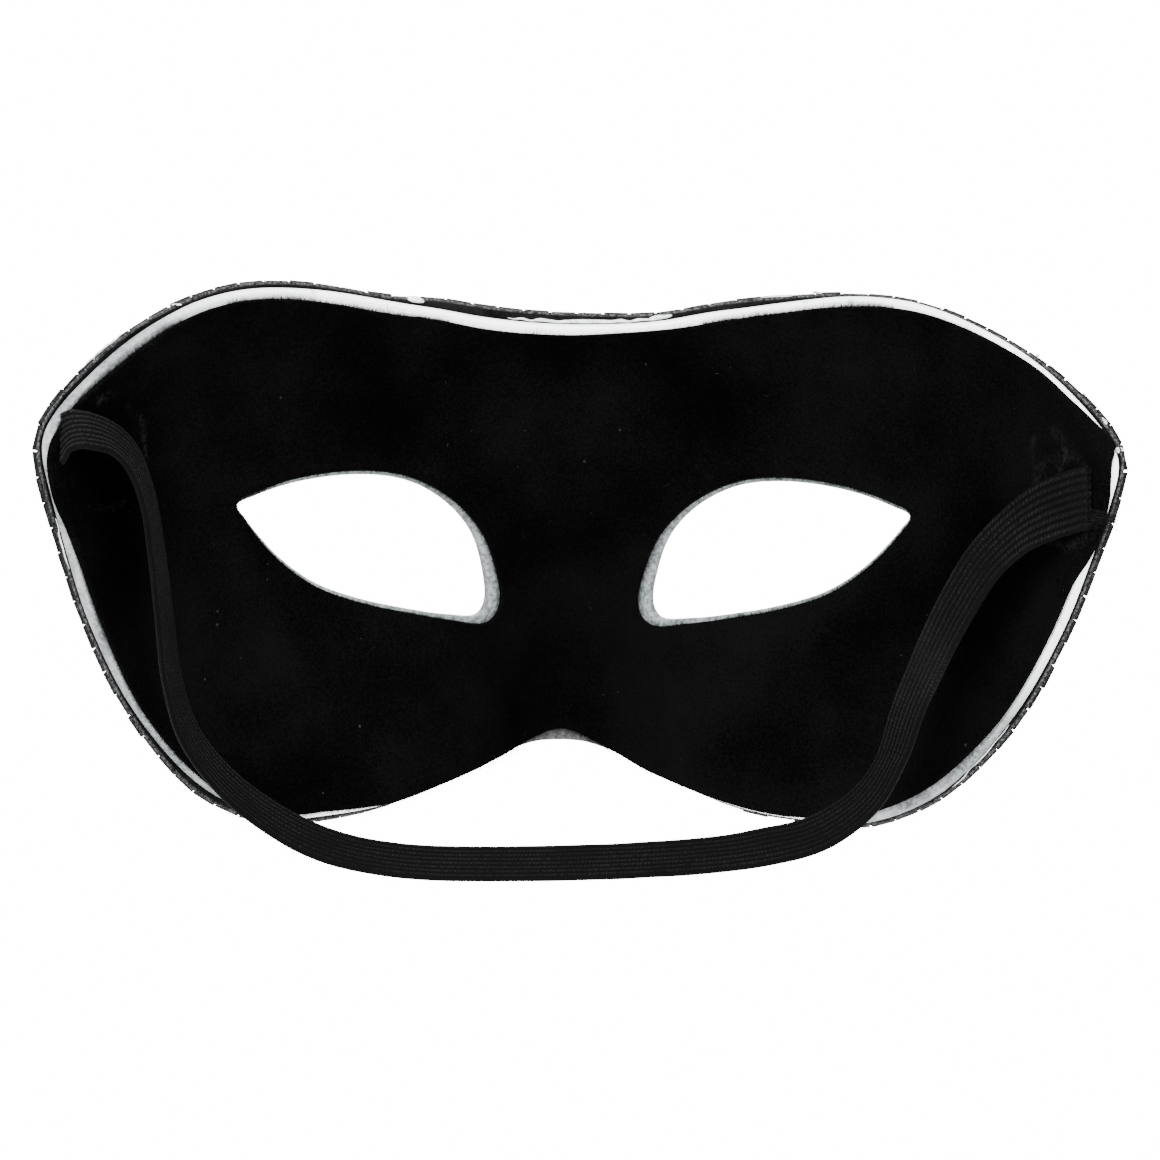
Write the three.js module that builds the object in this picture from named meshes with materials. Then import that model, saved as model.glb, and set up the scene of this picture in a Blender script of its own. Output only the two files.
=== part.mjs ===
// A costume eye mask: a white moulded shell, a black lining on the wearer's side,
// a black cover on the front and a flat elastic strap glued to the lining at both temples.
//
// Lengths are in millimetres and angles in degrees. +Z is up, the front of the mask faces -Y
// and the wearer is at +Y.
// The origin is the seat on the nose bridge: the point of the lining that rests on the wearer's nose.
import * as THREE from "three";
import { mergeVertices } from "three/addons/utils/BufferGeometryUtils.js";

// Plan of the mask: half an ellipse round the face, seen from above
const PLAN_HALF_WIDTH = 85.5;
const PLAN_DEPTH = 60;

// Outline of the mask, measured along the curved surface from the middle of the face
const HALF_SPREAD = 99;
const BROW_RISE = 42.2;
const CHEEK_DROP = 42.8;

// How far the brow and the cheeks lean back towards the wearer at those heights
const BROW_LEAN = 10;
const CHEEK_LEAN = 4;

// The nose: how far it stands forward, where it starts, and its half width at the top and at the bottom
const NOSE_DEPTH = 21;
const NOSE_TOP = 22;
const NOSE_BOTTOM = -29;
const NOSE_TOP_HALF_WIDTH = 11;
const NOSE_BOTTOM_HALF_WIDTH = 16;

// The eye holes, measured along the surface
const EYE_OUT = 35.3;
const EYE_UP = 1.6;
const EYE_WIDTH = 43.8;
const EYE_HEIGHT = 22.8;

// Walls, and the gap between two pieces that lie on each other
const SHELL_WALL = 1.8;
const LINING_WALL = 1.0;
const COVER_WALL = 1.4;
const GAP = 0.3;

// The glue under the strap's two ends
const GLUE = 0.6;

// How far the lining's edge stays inside the shell's, and how far the cover stands past it
const LINING_SETBACK = 0.9;
const LINING_EYE_SETBACK = 0.6;
const COVER_OVERHANG = 0.3;
const COVER_EYE_SETBACK = 1.0;

// The elastic strap, and how far it bows towards the wearer off the line of the face
const STRAP_WIDTH = 10;
const STRAP_THICKNESS = 1.1;
const STRAP_BOW = 36;

// Height of the nose seat above the eye line
const SEAT_UP = 0;

// Cells: rings from an eye hole to the rim, and steps along the strap
const RINGS = 7;
const STRAP_STEPS = 84;

// Steps over which slopes are taken, along the surface and along a table's rows
const SLOPE_STEP = 0.25;
const ROW_STEP = 0.02;

// Divisions for lengths along the plan, and the distance under which two points are one
const PLAN_DIVISIONS = 600;
const WELD = 1e-4;

// The outline of one half, from the middle of the brow round the temple to the middle of the nose arch.
// out is a share of HALF_SPREAD. up is a share of BROW_RISE, and where it is negative a share of CHEEK_DROP.
// bare is how much of LINING_SETBACK and COVER_OVERHANG the edge has there.
const RIM_ROWS = [
  { out: 0.0, up: 0.895, bare: 1.0 },
  { out: 0.133, up: 0.91, bare: 1.0 },
  { out: 0.265, up: 0.966, bare: 1.0 },
  { out: 0.448, up: 1.0, bare: 1.0 },
  { out: 0.575, up: 0.964, bare: 1.0 },
  { out: 0.729, up: 0.829, bare: 1.0 },
  { out: 0.879, up: 0.626, bare: 1.0 },
  { out: 0.985, up: 0.427, bare: 1.0 },
  { out: 0.997, up: 0.345, bare: 1.0 },
  { out: 0.976, up: 0.21, bare: 1.0 },
  { out: 0.926, up: 0.007, bare: 1.0 },
  { out: 0.862, up: -0.259, bare: 1.0 },
  { out: 0.756, up: -0.597, bare: 0.9 },
  { out: 0.619, up: -0.88, bare: 0.65 },
  { out: 0.493, up: -1.0, bare: 0.5 },
  { out: 0.392, up: -0.993, bare: 0.4 },
  { out: 0.296, up: -0.955, bare: 0.3 },
  { out: 0.151, up: -0.84, bare: 0.2 },
  { out: 0.07, up: -0.755, bare: 0.15 },
  { out: 0.0, up: -0.73, bare: 0.15 },
];
const RIM_TEMPLE_ROW = 8;
const RIM_NOSE_ROW = RIM_ROWS.length - 1;

// The outline of an eye hole, from its upper corner on the nose side round the outer corner and back.
// out is a share of half EYE_WIDTH, towards the temple, and up a share of half EYE_HEIGHT.
const EYE_ROWS = [
  { out: -0.47, up: 0.851 },
  { out: -0.242, up: 0.981 },
  { out: 0.105, up: 1.0 },
  { out: 0.534, up: 0.868 },
  { out: 0.86, up: 0.66 },
  { out: 1.0, up: 0.525 },
  { out: 0.936, up: 0.35 },
  { out: 0.808, up: 0.079 },
  { out: 0.626, up: -0.237 },
  { out: 0.356, up: -0.561 },
  { out: 0.0, up: -0.781 },
  { out: -0.356, up: -0.912 },
  { out: -0.699, up: -1.0 },
  { out: -0.94, up: -1.0 },
  { out: -1.0, up: -0.8 },
  { out: -0.959, up: -0.254 },
  { out: -0.868, up: 0.193 },
  { out: -0.699, up: 0.57 },
];
const EYE_OUTER_ROW = 5;
const EYE_INNER_ROW = 13;

// The cells round an eye hole in three runs, each between two rows of the rim and two rows of the eye hole.
// The last run follows the middle line of the mask, where the two halves join.
const RUNS = [
  { cells: 22, rimFrom: 0, rimTo: RIM_TEMPLE_ROW, eyeFrom: 0, eyeTo: EYE_OUTER_ROW, onMiddle: false },
  { cells: 24, rimFrom: RIM_TEMPLE_ROW, rimTo: RIM_NOSE_ROW, eyeFrom: EYE_OUTER_ROW, eyeTo: EYE_INNER_ROW,
    onMiddle: false },
  { cells: 11, rimFrom: RIM_NOSE_ROW, rimTo: 0, eyeFrom: EYE_INNER_ROW, eyeTo: EYE_ROWS.length,
    onMiddle: true },
];

// The route of the strap from the left temple to the right one, as the wearer sees it from behind.
// out and up are as in RIM_ROWS, with out negative on the other side. clear is how far the strap stands
// off the line of the face, as a share of STRAP_BOW. turn is how far its face looks inwards, to the middle
// of the loop, and not straight at the wearer. A glued row lies on the lining.
const STRAP_ROWS = [
  { out: 0.957, up: 0.395, glued: true },
  { out: 0.926, up: 0.412, glued: true },
  { out: 0.895, up: 0.423, clear: 0.19, turn: 8 },
  { out: 0.868, up: 0.43, clear: 0.235, turn: 28 },
  { out: 0.842, up: 0.424, clear: 0.28, turn: 48 },
  { out: 0.816, up: 0.403, clear: 0.31, turn: 64 },
  { out: 0.791, up: 0.367, clear: 0.34, turn: 73 },
  { out: 0.768, up: 0.31, clear: 0.36, turn: 78 },
  { out: 0.743, up: 0.188, clear: 0.375, turn: 81 },
  { out: 0.726, up: 0.01, clear: 0.37, turn: 81 },
  { out: 0.709, up: -0.222, clear: 0.36, turn: 80 },
  { out: 0.69, up: -0.48, clear: 0.355, turn: 78 },
  { out: 0.653, up: -0.686, clear: 0.375, turn: 74 },
  { out: 0.577, up: -0.87, clear: 0.43, turn: 69 },
  { out: 0.48, up: -1.01, clear: 0.53, turn: 64 },
  { out: 0.391, up: -1.09, clear: 0.65, turn: 62 },
  { out: 0.282, up: -1.13, clear: 0.8, turn: 62 },
  { out: 0.12, up: -1.133, clear: 0.95, turn: 62 },
  { out: -0.039, up: -1.12, clear: 1.0, turn: 62 },
  { out: -0.199, up: -1.094, clear: 0.93, turn: 61 },
  { out: -0.304, up: -1.061, clear: 0.83, turn: 59 },
  { out: -0.4, up: -1.005, clear: 0.71, turn: 60 },
  { out: -0.477, up: -0.89, clear: 0.62, turn: 66 },
  { out: -0.526, up: -0.739, clear: 0.55, turn: 71 },
  { out: -0.558, up: -0.551, clear: 0.49, turn: 67 },
  { out: -0.602, up: -0.347, clear: 0.43, turn: 63 },
  { out: -0.649, up: -0.159, clear: 0.37, turn: 58 },
  { out: -0.705, up: 0.013, clear: 0.305, turn: 53 },
  { out: -0.77, up: 0.133, clear: 0.24, turn: 44 },
  { out: -0.825, up: 0.193, clear: 0.185, turn: 26 },
  { out: -0.88, up: 0.227, glued: true },
  { out: -0.907, up: 0.24, glued: true },
  { out: -0.933, up: 0.249, glued: true },
];

// The three layers of the mask. back and front are depths in front of the wearer's side of the shell.
const layers = {
  shell: { back: 0, front: SHELL_WALL, rimInset: 0, eyeInset: 0 },
  lining: {
    back: -(GAP + LINING_WALL),
    front: -GAP,
    rimInset: LINING_SETBACK,
    eyeInset: LINING_EYE_SETBACK,
  },
  front_cover: {
    back: SHELL_WALL + GAP,
    front: SHELL_WALL + GAP + COVER_WALL,
    rimInset: -COVER_OVERHANG,
    eyeInset: COVER_EYE_SETBACK,
  },
};

const towardsWearer = new THREE.Vector3(0, 1, 0);
const plan = new THREE.EllipseCurve(0, PLAN_DEPTH, PLAN_HALF_WIDTH, PLAN_DEPTH, -Math.PI / 2, 0);
plan.arcLengthDivisions = PLAN_DIVISIONS;
const planLength = plan.getLength();

// The height of a table's up share
function heightOf(share) {
  return share * (share < 0 ? CHEEK_DROP : BROW_RISE);
}

// The line of the face without the nose, at a distance along the surface from the middle and a height
function facePoint(along, height) {
  const onPlan = plan.getPointAt(Math.min(Math.abs(along) / planLength, 1));
  const lean = height > 0
    ? BROW_LEAN * (height / BROW_RISE) ** 2
    : CHEEK_LEAN * (height / CHEEK_DROP) ** 2;
  return new THREE.Vector3(Math.sign(along) * onPlan.x, onPlan.y + lean, height);
}

// The nose stands forward as a bell across the face that grows from the brow down to the nose arch
function noseDepth(x, height) {
  const down = THREE.MathUtils.clamp((NOSE_TOP - height) / (NOSE_TOP - NOSE_BOTTOM), 0, 1);
  const halfWidth = THREE.MathUtils.lerp(NOSE_TOP_HALF_WIDTH, NOSE_BOTTOM_HALF_WIDTH, down);
  const grown = THREE.MathUtils.smoothstep(down, 0, 1);
  return NOSE_DEPTH * grown * Math.exp(-((x / halfWidth) ** 2));
}

// The wearer's side of the shell
function shellFace(along, height) {
  const point = facePoint(along, height);
  point.y -= noseDepth(point.x, height);
  return point;
}

// The direction out of the front of the shell
function frontNormal(along, height) {
  const across = shellFace(along + SLOPE_STEP, height).sub(shellFace(along - SLOPE_STEP, height));
  const upwards = shellFace(along, height + SLOPE_STEP).sub(shellFace(along, height - SLOPE_STEP));
  return across.cross(upwards).normalize();
}

// A point at a depth in front of the wearer's side of the shell, or behind it where the depth is negative
function layerPoint(along, height, depth) {
  return shellFace(along, height).addScaledVector(frontNormal(along, height), depth);
}

// A closed smooth curve through points of the surface, whose parameter counts the rows
class RowCurve {
  constructor(points) {
    this.curve = new THREE.CatmullRomCurve3(points, true, "centripetal");
    this.count = points.length;
  }

  pointAt(row) {
    const turns = row / this.count;
    return this.curve.getPoint(turns - Math.floor(turns));
  }

  // The point at a row, moved to the right of the way that the curve runs.
  // A row's z is its share of the inset.
  at(row, inset) {
    const point = this.pointAt(row);
    const way = this.pointAt(row + ROW_STEP).sub(this.pointAt(row - ROW_STEP)).setZ(0).normalize();
    const moved = inset * point.z;
    return new THREE.Vector2(point.x + way.y * moved, point.y - way.x * moved);
  }
}

function rimCurve() {
  const half = RIM_ROWS.map((row) => new THREE.Vector3(row.out * HALF_SPREAD, heightOf(row.up), row.bare));
  const mirrored = half
    .slice(1, -1)
    .reverse()
    .map((point) => new THREE.Vector3(-point.x, point.y, point.z));
  return new RowCurve([...half, ...mirrored]);
}

function eyeCurve() {
  const points = EYE_ROWS.map((row) => new THREE.Vector3(
    EYE_OUT + (row.out * EYE_WIDTH) / 2,
    EYE_UP + (row.up * EYE_HEIGHT) / 2,
    1,
  ));
  return new RowCurve(points);
}

const rim = rimCurve();
const eye = eyeCurve();

// The spokes round one eye hole. Each holds the end on the hole and the end on the rim or the middle line,
// both without any inset, and the layer's own ends, which lie inside or past them.
function spokes(rimInset, eyeInset) {
  const list = [];
  for (const run of RUNS) {
    for (let cell = 0; cell < run.cells; cell += 1) {
      const share = cell / run.cells;
      const rimRow = THREE.MathUtils.lerp(run.rimFrom, run.rimTo, share);
      const eyeRow = THREE.MathUtils.lerp(run.eyeFrom, run.eyeTo, share);
      list.push({
        inner: eye.at(eyeRow, 0),
        outer: run.onMiddle ? middlePoint(share, 0) : rim.at(rimRow, 0),
        innerEnd: eye.at(eyeRow, -eyeInset),
        outerEnd: run.onMiddle ? middlePoint(share, rimInset) : rim.at(rimRow, rimInset),
        onMiddle: run.onMiddle,
      });
    }
  }
  return list;
}

// A point of the middle line, from the nose arch up to the brow
function middlePoint(share, rimInset) {
  const bottom = rim.at(RIM_NOSE_ROW, rimInset);
  const top = rim.at(0, rimInset);
  return new THREE.Vector2(0, THREE.MathUtils.lerp(bottom.y, top.y, share));
}

// Where a ring crosses a spoke: the end rings follow the layer's own edges
function ringPoint(spoke, ring) {
  if (ring === 0) {
    return spoke.innerEnd;
  }
  if (ring === RINGS) {
    return spoke.outerEnd;
  }
  return spoke.inner.clone().lerp(spoke.outer, ring / RINGS);
}

// One layer of the mask as a closed body: its front, its back, its rim and the walls of both eye holes
function layerGeometry({ back, front, rimInset, eyeInset }) {
  const around = spokes(rimInset, eyeInset);
  const count = around.length;
  const positions = [];
  const indices = [];
  for (const side of [1, -1]) {
    const first = positions.length / 3;
    const vertex = (ring, spoke, face) => first + (ring * count + (spoke % count)) * 2 + face;
    for (let ring = 0; ring <= RINGS; ring += 1) {
      for (const spoke of around) {
        const place = ringPoint(spoke, ring);
        for (const depth of [back, front]) {
          const point = layerPoint(place.x, place.y, depth);
          positions.push(side * (Math.abs(place.x) < WELD ? 0 : point.x), point.y, point.z);
        }
      }
    }
    const quad = (a, b, c, d) => {
      const corners = side > 0 ? [a, b, c, d] : [d, c, b, a];
      indices.push(corners[0], corners[1], corners[2], corners[0], corners[2], corners[3]);
    };
    for (let spoke = 0; spoke < count; spoke += 1) {
      const next = spoke + 1;
      for (let ring = 0; ring < RINGS; ring += 1) {
        const out = ring + 1;
        quad(vertex(ring, spoke, 0), vertex(out, spoke, 0), vertex(out, next, 0), vertex(ring, next, 0));
        quad(vertex(ring, spoke, 1), vertex(ring, next, 1), vertex(out, next, 1), vertex(out, spoke, 1));
      }
      quad(vertex(0, next, 1), vertex(0, spoke, 1), vertex(0, spoke, 0), vertex(0, next, 0));
      if (!around[spoke].onMiddle) {
        quad(
          vertex(RINGS, spoke, 1),
          vertex(RINGS, next, 1),
          vertex(RINGS, next, 0),
          vertex(RINGS, spoke, 0),
        );
      }
    }
  }
  return closedGeometry(positions, indices);
}

function closedGeometry(positions, indices) {
  const geometry = new THREE.BufferGeometry();
  geometry.setAttribute("position", new THREE.Float32BufferAttribute(positions, 3));
  geometry.setIndex(indices);
  const merged = mergeVertices(geometry, WELD);
  merged.computeVertexNormals();
  return merged;
}

// The middle of the strap and the way its face looks, at each row of its route
function strapStations() {
  const onLining = STRAP_THICKNESS / 2 + GLUE - layers.lining.back;
  const places = STRAP_ROWS.map((row) => {
    const along = row.out * HALF_SPREAD;
    const height = heightOf(row.up);
    if (row.glued) {
      const face = frontNormal(along, height).negate();
      const middle = facePoint(along, height).addScaledVector(towardsWearer, onLining / face.y);
      return { middle, face };
    }
    const middle = facePoint(along, height).addScaledVector(towardsWearer, row.clear * STRAP_BOW);
    return { middle, turn: THREE.MathUtils.degToRad(row.turn) };
  });
  const route = new THREE.CatmullRomCurve3(places.map((place) => place.middle), false, "centripetal");
  places.forEach((place, index) => {
    if (place.face) {
      return;
    }
    const way = route.getTangent(index / (places.length - 1));
    const inwards = towardsWearer.clone().cross(way).normalize();
    const outOfPage = way.clone().cross(inwards).normalize();
    place.face = outOfPage
      .multiplyScalar(Math.cos(place.turn))
      .addScaledVector(inwards, Math.sin(place.turn));
  });
  const faces = new THREE.CatmullRomCurve3(places.map((place) => place.face), false, "centripetal");
  return { route, faces };
}

// A flat band along its route
function strapGeometry() {
  const { route, faces } = strapStations();
  const positions = [];
  const indices = [];
  for (let step = 0; step <= STRAP_STEPS; step += 1) {
    const share = step / STRAP_STEPS;
    const middle = route.getPoint(share);
    const way = route.getTangent(share);
    const width = way.clone().cross(faces.getPoint(share)).normalize();
    const face = width.clone().cross(way).normalize();
    for (const [side, depth] of [[1, 1], [1, -1], [-1, -1], [-1, 1]]) {
      const corner = middle
        .clone()
        .addScaledVector(width, (side * STRAP_WIDTH) / 2)
        .addScaledVector(face, (depth * STRAP_THICKNESS) / 2);
      positions.push(corner.x, corner.y, corner.z);
    }
  }
  for (let step = 0; step < STRAP_STEPS; step += 1) {
    for (let corner = 0; corner < 4; corner += 1) {
      const a = step * 4 + corner;
      const b = step * 4 + ((corner + 1) % 4);
      indices.push(a, b, b + 4, a, b + 4, a + 4);
    }
  }
  const last = STRAP_STEPS * 4;
  indices.push(0, 2, 1, 0, 3, 2, last, last + 1, last + 2, last, last + 2, last + 3);
  return closedGeometry(positions, indices);
}

function piece(name, geometry, color, roughness) {
  const material = new THREE.MeshStandardMaterial({ color, roughness, metalness: 0 });
  const mesh = new THREE.Mesh(geometry, material);
  mesh.name = name;
  return mesh;
}

const mask = new THREE.Group();
mask.add(
  piece("shell", layerGeometry(layers.shell), 0xe9ebec, 0.6),
  piece("lining", layerGeometry(layers.lining), 0x0d0d0f, 0.95),
  piece("front_cover", layerGeometry(layers.front_cover), 0x141416, 0.45),
  piece("elastic_strap", strapGeometry(), 0x1c1c1f, 0.8),
);
mask.position.copy(layerPoint(0, SEAT_UP, layers.lining.back)).negate();

const costumeEyeMask = new THREE.Group();
costumeEyeMask.add(mask);

export default costumeEyeMask;
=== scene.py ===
"""The looks of a costume eye mask: a white moulded shell lined with black velvet,
covered with small black tiles on its front and held on by a flat ribbed elastic.

Lengths are worked out in millimetres and written into the meshes in metres.
+Z is up, the front of the mask faces -Y and the wearer is at +Y.
"""

import logging
import math
from collections.abc import Callable
from dataclasses import dataclass
from enum import Enum
from functools import cached_property

import bpy
import numpy as np
from mathutils import Matrix, Vector


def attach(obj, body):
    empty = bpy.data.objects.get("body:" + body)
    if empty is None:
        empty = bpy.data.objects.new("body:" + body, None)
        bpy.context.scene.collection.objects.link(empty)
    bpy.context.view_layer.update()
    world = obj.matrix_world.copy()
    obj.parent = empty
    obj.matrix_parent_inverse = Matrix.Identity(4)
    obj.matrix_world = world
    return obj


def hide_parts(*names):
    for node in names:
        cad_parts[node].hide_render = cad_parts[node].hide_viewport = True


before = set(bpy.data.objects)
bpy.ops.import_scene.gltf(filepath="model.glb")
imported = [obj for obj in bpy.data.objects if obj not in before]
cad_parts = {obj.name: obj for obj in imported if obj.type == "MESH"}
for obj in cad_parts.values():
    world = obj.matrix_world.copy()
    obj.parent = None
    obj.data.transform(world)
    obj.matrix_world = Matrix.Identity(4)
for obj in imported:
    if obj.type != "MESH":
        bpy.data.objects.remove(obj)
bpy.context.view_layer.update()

log = logging.getLogger("eye_mask")

Array = np.ndarray
Colour = tuple[float, float, float, float]
Piece = bpy.types.Object
Socket = bpy.types.NodeSocket
Tree = bpy.types.NodeTree

MM = 0.001
BODY = "root"
PHOTO_SIZE = 1160
EDGE_REACH = 3.0


class Slot(Enum):
    """The record's material slots, by name."""

    SHELL = "shell"
    LINING = "lining"
    COVER = "front_cover"
    ELASTIC = "elastic"


# Curves and the surface of the mask


class RowCurve:
    """A smooth curve through rows of numbers, whose parameter counts the rows.

    Between two rows it is the cubic that passes both and whose slopes come from the
    neighbouring rows, with the knots spaced by the square root of the distances.
    """

    def __init__(self, rows: Array, closed: bool) -> None:
        """Keeps the rows and adds the neighbours that the first and last spans need.

        Args:
            rows: Points, one a row.
            closed: Whether the last row joins the first.
        """
        self.count = len(rows)
        self.closed = closed
        if closed:
            self.padded = np.concatenate([rows[-1:], rows, rows[:2]])
        else:
            before = 2 * rows[:1] - rows[1:2]
            after = 2 * rows[-1:] - rows[-2:-1]
            self.padded = np.concatenate([before, rows, after])

    def at(self, places: Array) -> Array:
        """The curve's points.

        Args:
            places: Row counts, with fractions between two rows.

        Returns:
            One point for each place.
        """
        if self.closed:
            places = np.mod(places, self.count)
            first = np.floor(places).astype(int)
        else:
            first = np.clip(np.floor(places).astype(int), 0, self.count - 2)
        share = (places - first)[..., None]
        p0, p1, p2, p3 = (self.padded[first + step] for step in range(4))
        knot0, knot1, knot2 = (
            np.sqrt(np.linalg.norm(b - a, axis=-1, keepdims=True)) + 1e-9
            for a, b in ((p0, p1), (p1, p2), (p2, p3))
        )
        slope1 = ((p1 - p0) / knot0 - (p2 - p0) / (knot0 + knot1) + (p2 - p1) / knot1) * knot1
        slope2 = ((p2 - p1) / knot1 - (p3 - p1) / (knot1 + knot2) + (p3 - p2) / knot2) * knot1
        square = -3 * p1 + 3 * p2 - 2 * slope1 - slope2
        cube = 2 * p1 - 2 * p2 + slope1 + slope2
        return p1 + share * (slope1 + share * (square + share * cube))

    def along(self, places: Array, step: float = 0.02) -> Array:
        """The unit directions of the curve at some places, from a small step both ways."""
        return unit(self.at(places + step) - self.at(places - step))


def unit(vectors: Array) -> Array:
    """The vectors scaled to a length of one."""
    return vectors / np.maximum(np.linalg.norm(vectors, axis=-1, keepdims=True), 1e-12)


def ease(share: Array) -> Array:
    """A smooth step: 3t^2 - 2t^3 of a share between 0 and 1."""
    return share**2 * (3 - 2 * share)


def smooth_noise(x: Array, y: Array, size: float, seed: int) -> Array:
    """Soft random hills over a plane.

    Random heights stand on a square lattice, and between them the height is blended with
    the weights 3t^2 - 2t^3 along both axes.

    Args:
        x: First coordinates.
        y: Second coordinates.
        size: The width of a hill, in the units of x and y.
        seed: The seed of the random heights.

    Returns:
        Heights between -1 and 1.
    """
    cells = 64
    lattice = np.random.default_rng(seed).uniform(-1, 1, (cells, cells))
    u, v = x / size, y / size
    column, row = np.floor(u).astype(int), np.floor(v).astype(int)
    across, up = u - column, v - row
    across, up = ease(across), ease(up)

    def corner(i: int, j: int) -> Array:
        """The random height at one corner of each point's cell."""
        return lattice[(column + i) % cells, (row + j) % cells]

    low = corner(0, 0) * (1 - across) + corner(1, 0) * across
    high = corner(0, 1) * (1 - across) + corner(1, 1) * across
    return low * (1 - up) + high * up


@dataclass(frozen=True)
class FaceSurface:
    """The wearer's side of the shell.

    In plan it is half an ellipse. Its brow and cheeks lean back with the square of the
    height, and the nose stands forward as a bell that widens and grows downwards.
    """

    plan_half_width: float = 85.5
    plan_depth: float = 60.0
    half_spread: float = 99.0
    brow_rise: float = 42.2
    cheek_drop: float = 42.8
    brow_lean: float = 10.0
    cheek_lean: float = 4.0
    nose_depth: float = 21.0
    nose_top: float = 22.0
    nose_bottom: float = -29.0
    nose_top_half_width: float = 11.0
    nose_bottom_half_width: float = 16.0
    seat_depth: float = -1.3
    slope_step: float = 0.25

    @cached_property
    def plan(self) -> tuple[Array, Array]:
        """Angles of the plan's quarter ellipse and the arc length up to each."""
        angles = np.linspace(0, math.pi / 2, 2001)
        speed = np.hypot(self.plan_half_width * np.cos(angles), self.plan_depth * np.sin(angles))
        steps = (speed[1:] + speed[:-1]) / 2 * np.diff(angles)
        return angles, np.concatenate([[0.0], np.cumsum(steps)])

    @cached_property
    def seat_shift(self) -> Array:
        """What moves the nose seat to the origin."""
        return -self.raw_layer(np.zeros(1), np.zeros(1), np.full(1, self.seat_depth))[0]

    def height_of(self, share: Array) -> Array:
        """Heights of a table's up shares: of the brow's rise, or of the cheek's drop below zero."""
        return share * np.where(share < 0, self.cheek_drop, self.brow_rise)

    def line_of_face(self, along: Array, height: Array) -> Array:
        """The face without its nose, at distances along it from the middle and heights."""
        angles, lengths = self.plan
        angle = np.interp(np.abs(along), lengths, angles)
        lean = np.where(
            height > 0,
            self.brow_lean * (height / self.brow_rise) ** 2,
            self.cheek_lean * (height / self.cheek_drop) ** 2,
        )
        x = np.sign(along) * self.plan_half_width * np.sin(angle)
        y = self.plan_depth * (1 - np.cos(angle)) + lean
        return np.stack([x, y, height + 0 * x], axis=-1)

    def raw_face(self, along: Array, height: Array) -> Array:
        """The face with its nose: y less the bell depth * 3t^2-2t^3 * exp(-(x / half width)^2)."""
        points = self.line_of_face(along, height)
        down = np.clip((self.nose_top - height) / (self.nose_top - self.nose_bottom), 0, 1)
        half = self.nose_top_half_width * (1 - down) + self.nose_bottom_half_width * down
        points[..., 1] -= self.nose_depth * ease(down) * np.exp(-((points[..., 0] / half) ** 2))
        return points

    def normal(self, along: Array, height: Array) -> Array:
        """Directions out of the front: the cross product of the slopes along and up."""
        step = self.slope_step
        across = self.raw_face(along + step, height) - self.raw_face(along - step, height)
        upwards = self.raw_face(along, height + step) - self.raw_face(along, height - step)
        return unit(np.cross(across, upwards))

    def raw_layer(self, along: Array, height: Array, depth: Array) -> Array:
        """Points at depths in front of the face, before the seat is moved to the origin."""
        return self.raw_face(along, height) + self.normal(along, height) * depth[..., None]

    def layer(self, along: Array, height: Array, depth: Array) -> Array:
        """Points at depths in front of the face, in the part's own frame."""
        return self.raw_layer(along, height, depth) + self.seat_shift


@dataclass(frozen=True)
class RimRow:
    """A row of the outline: shares of the spread and of the rise or drop, and of the setbacks."""

    out: float
    up: float
    bare: float = 1.0


@dataclass(frozen=True)
class EyeRow:
    """A row of an eye hole's outline: shares of its half width, half height and the setbacks."""

    out: float
    up: float
    bare: float = 1.0


class Cut(Enum):
    """The layers whose rims were cut by hand, each a little off the drawn rim."""

    SHELL = "shell"
    COVER = "cover"
    LINING = "lining"


@dataclass(frozen=True)
class CutRow:
    """How far the three layers stand out from the drawn rim at a row of it, in millimetres."""

    row: float
    shell: float
    cover: float
    lining: float


@dataclass(frozen=True)
class Run:
    """Cells between two rows of the rim and two rows of the eye hole."""

    cells: int
    rim_from: float
    rim_to: float
    eye_from: float
    eye_to: float
    on_middle: bool = False


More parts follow.
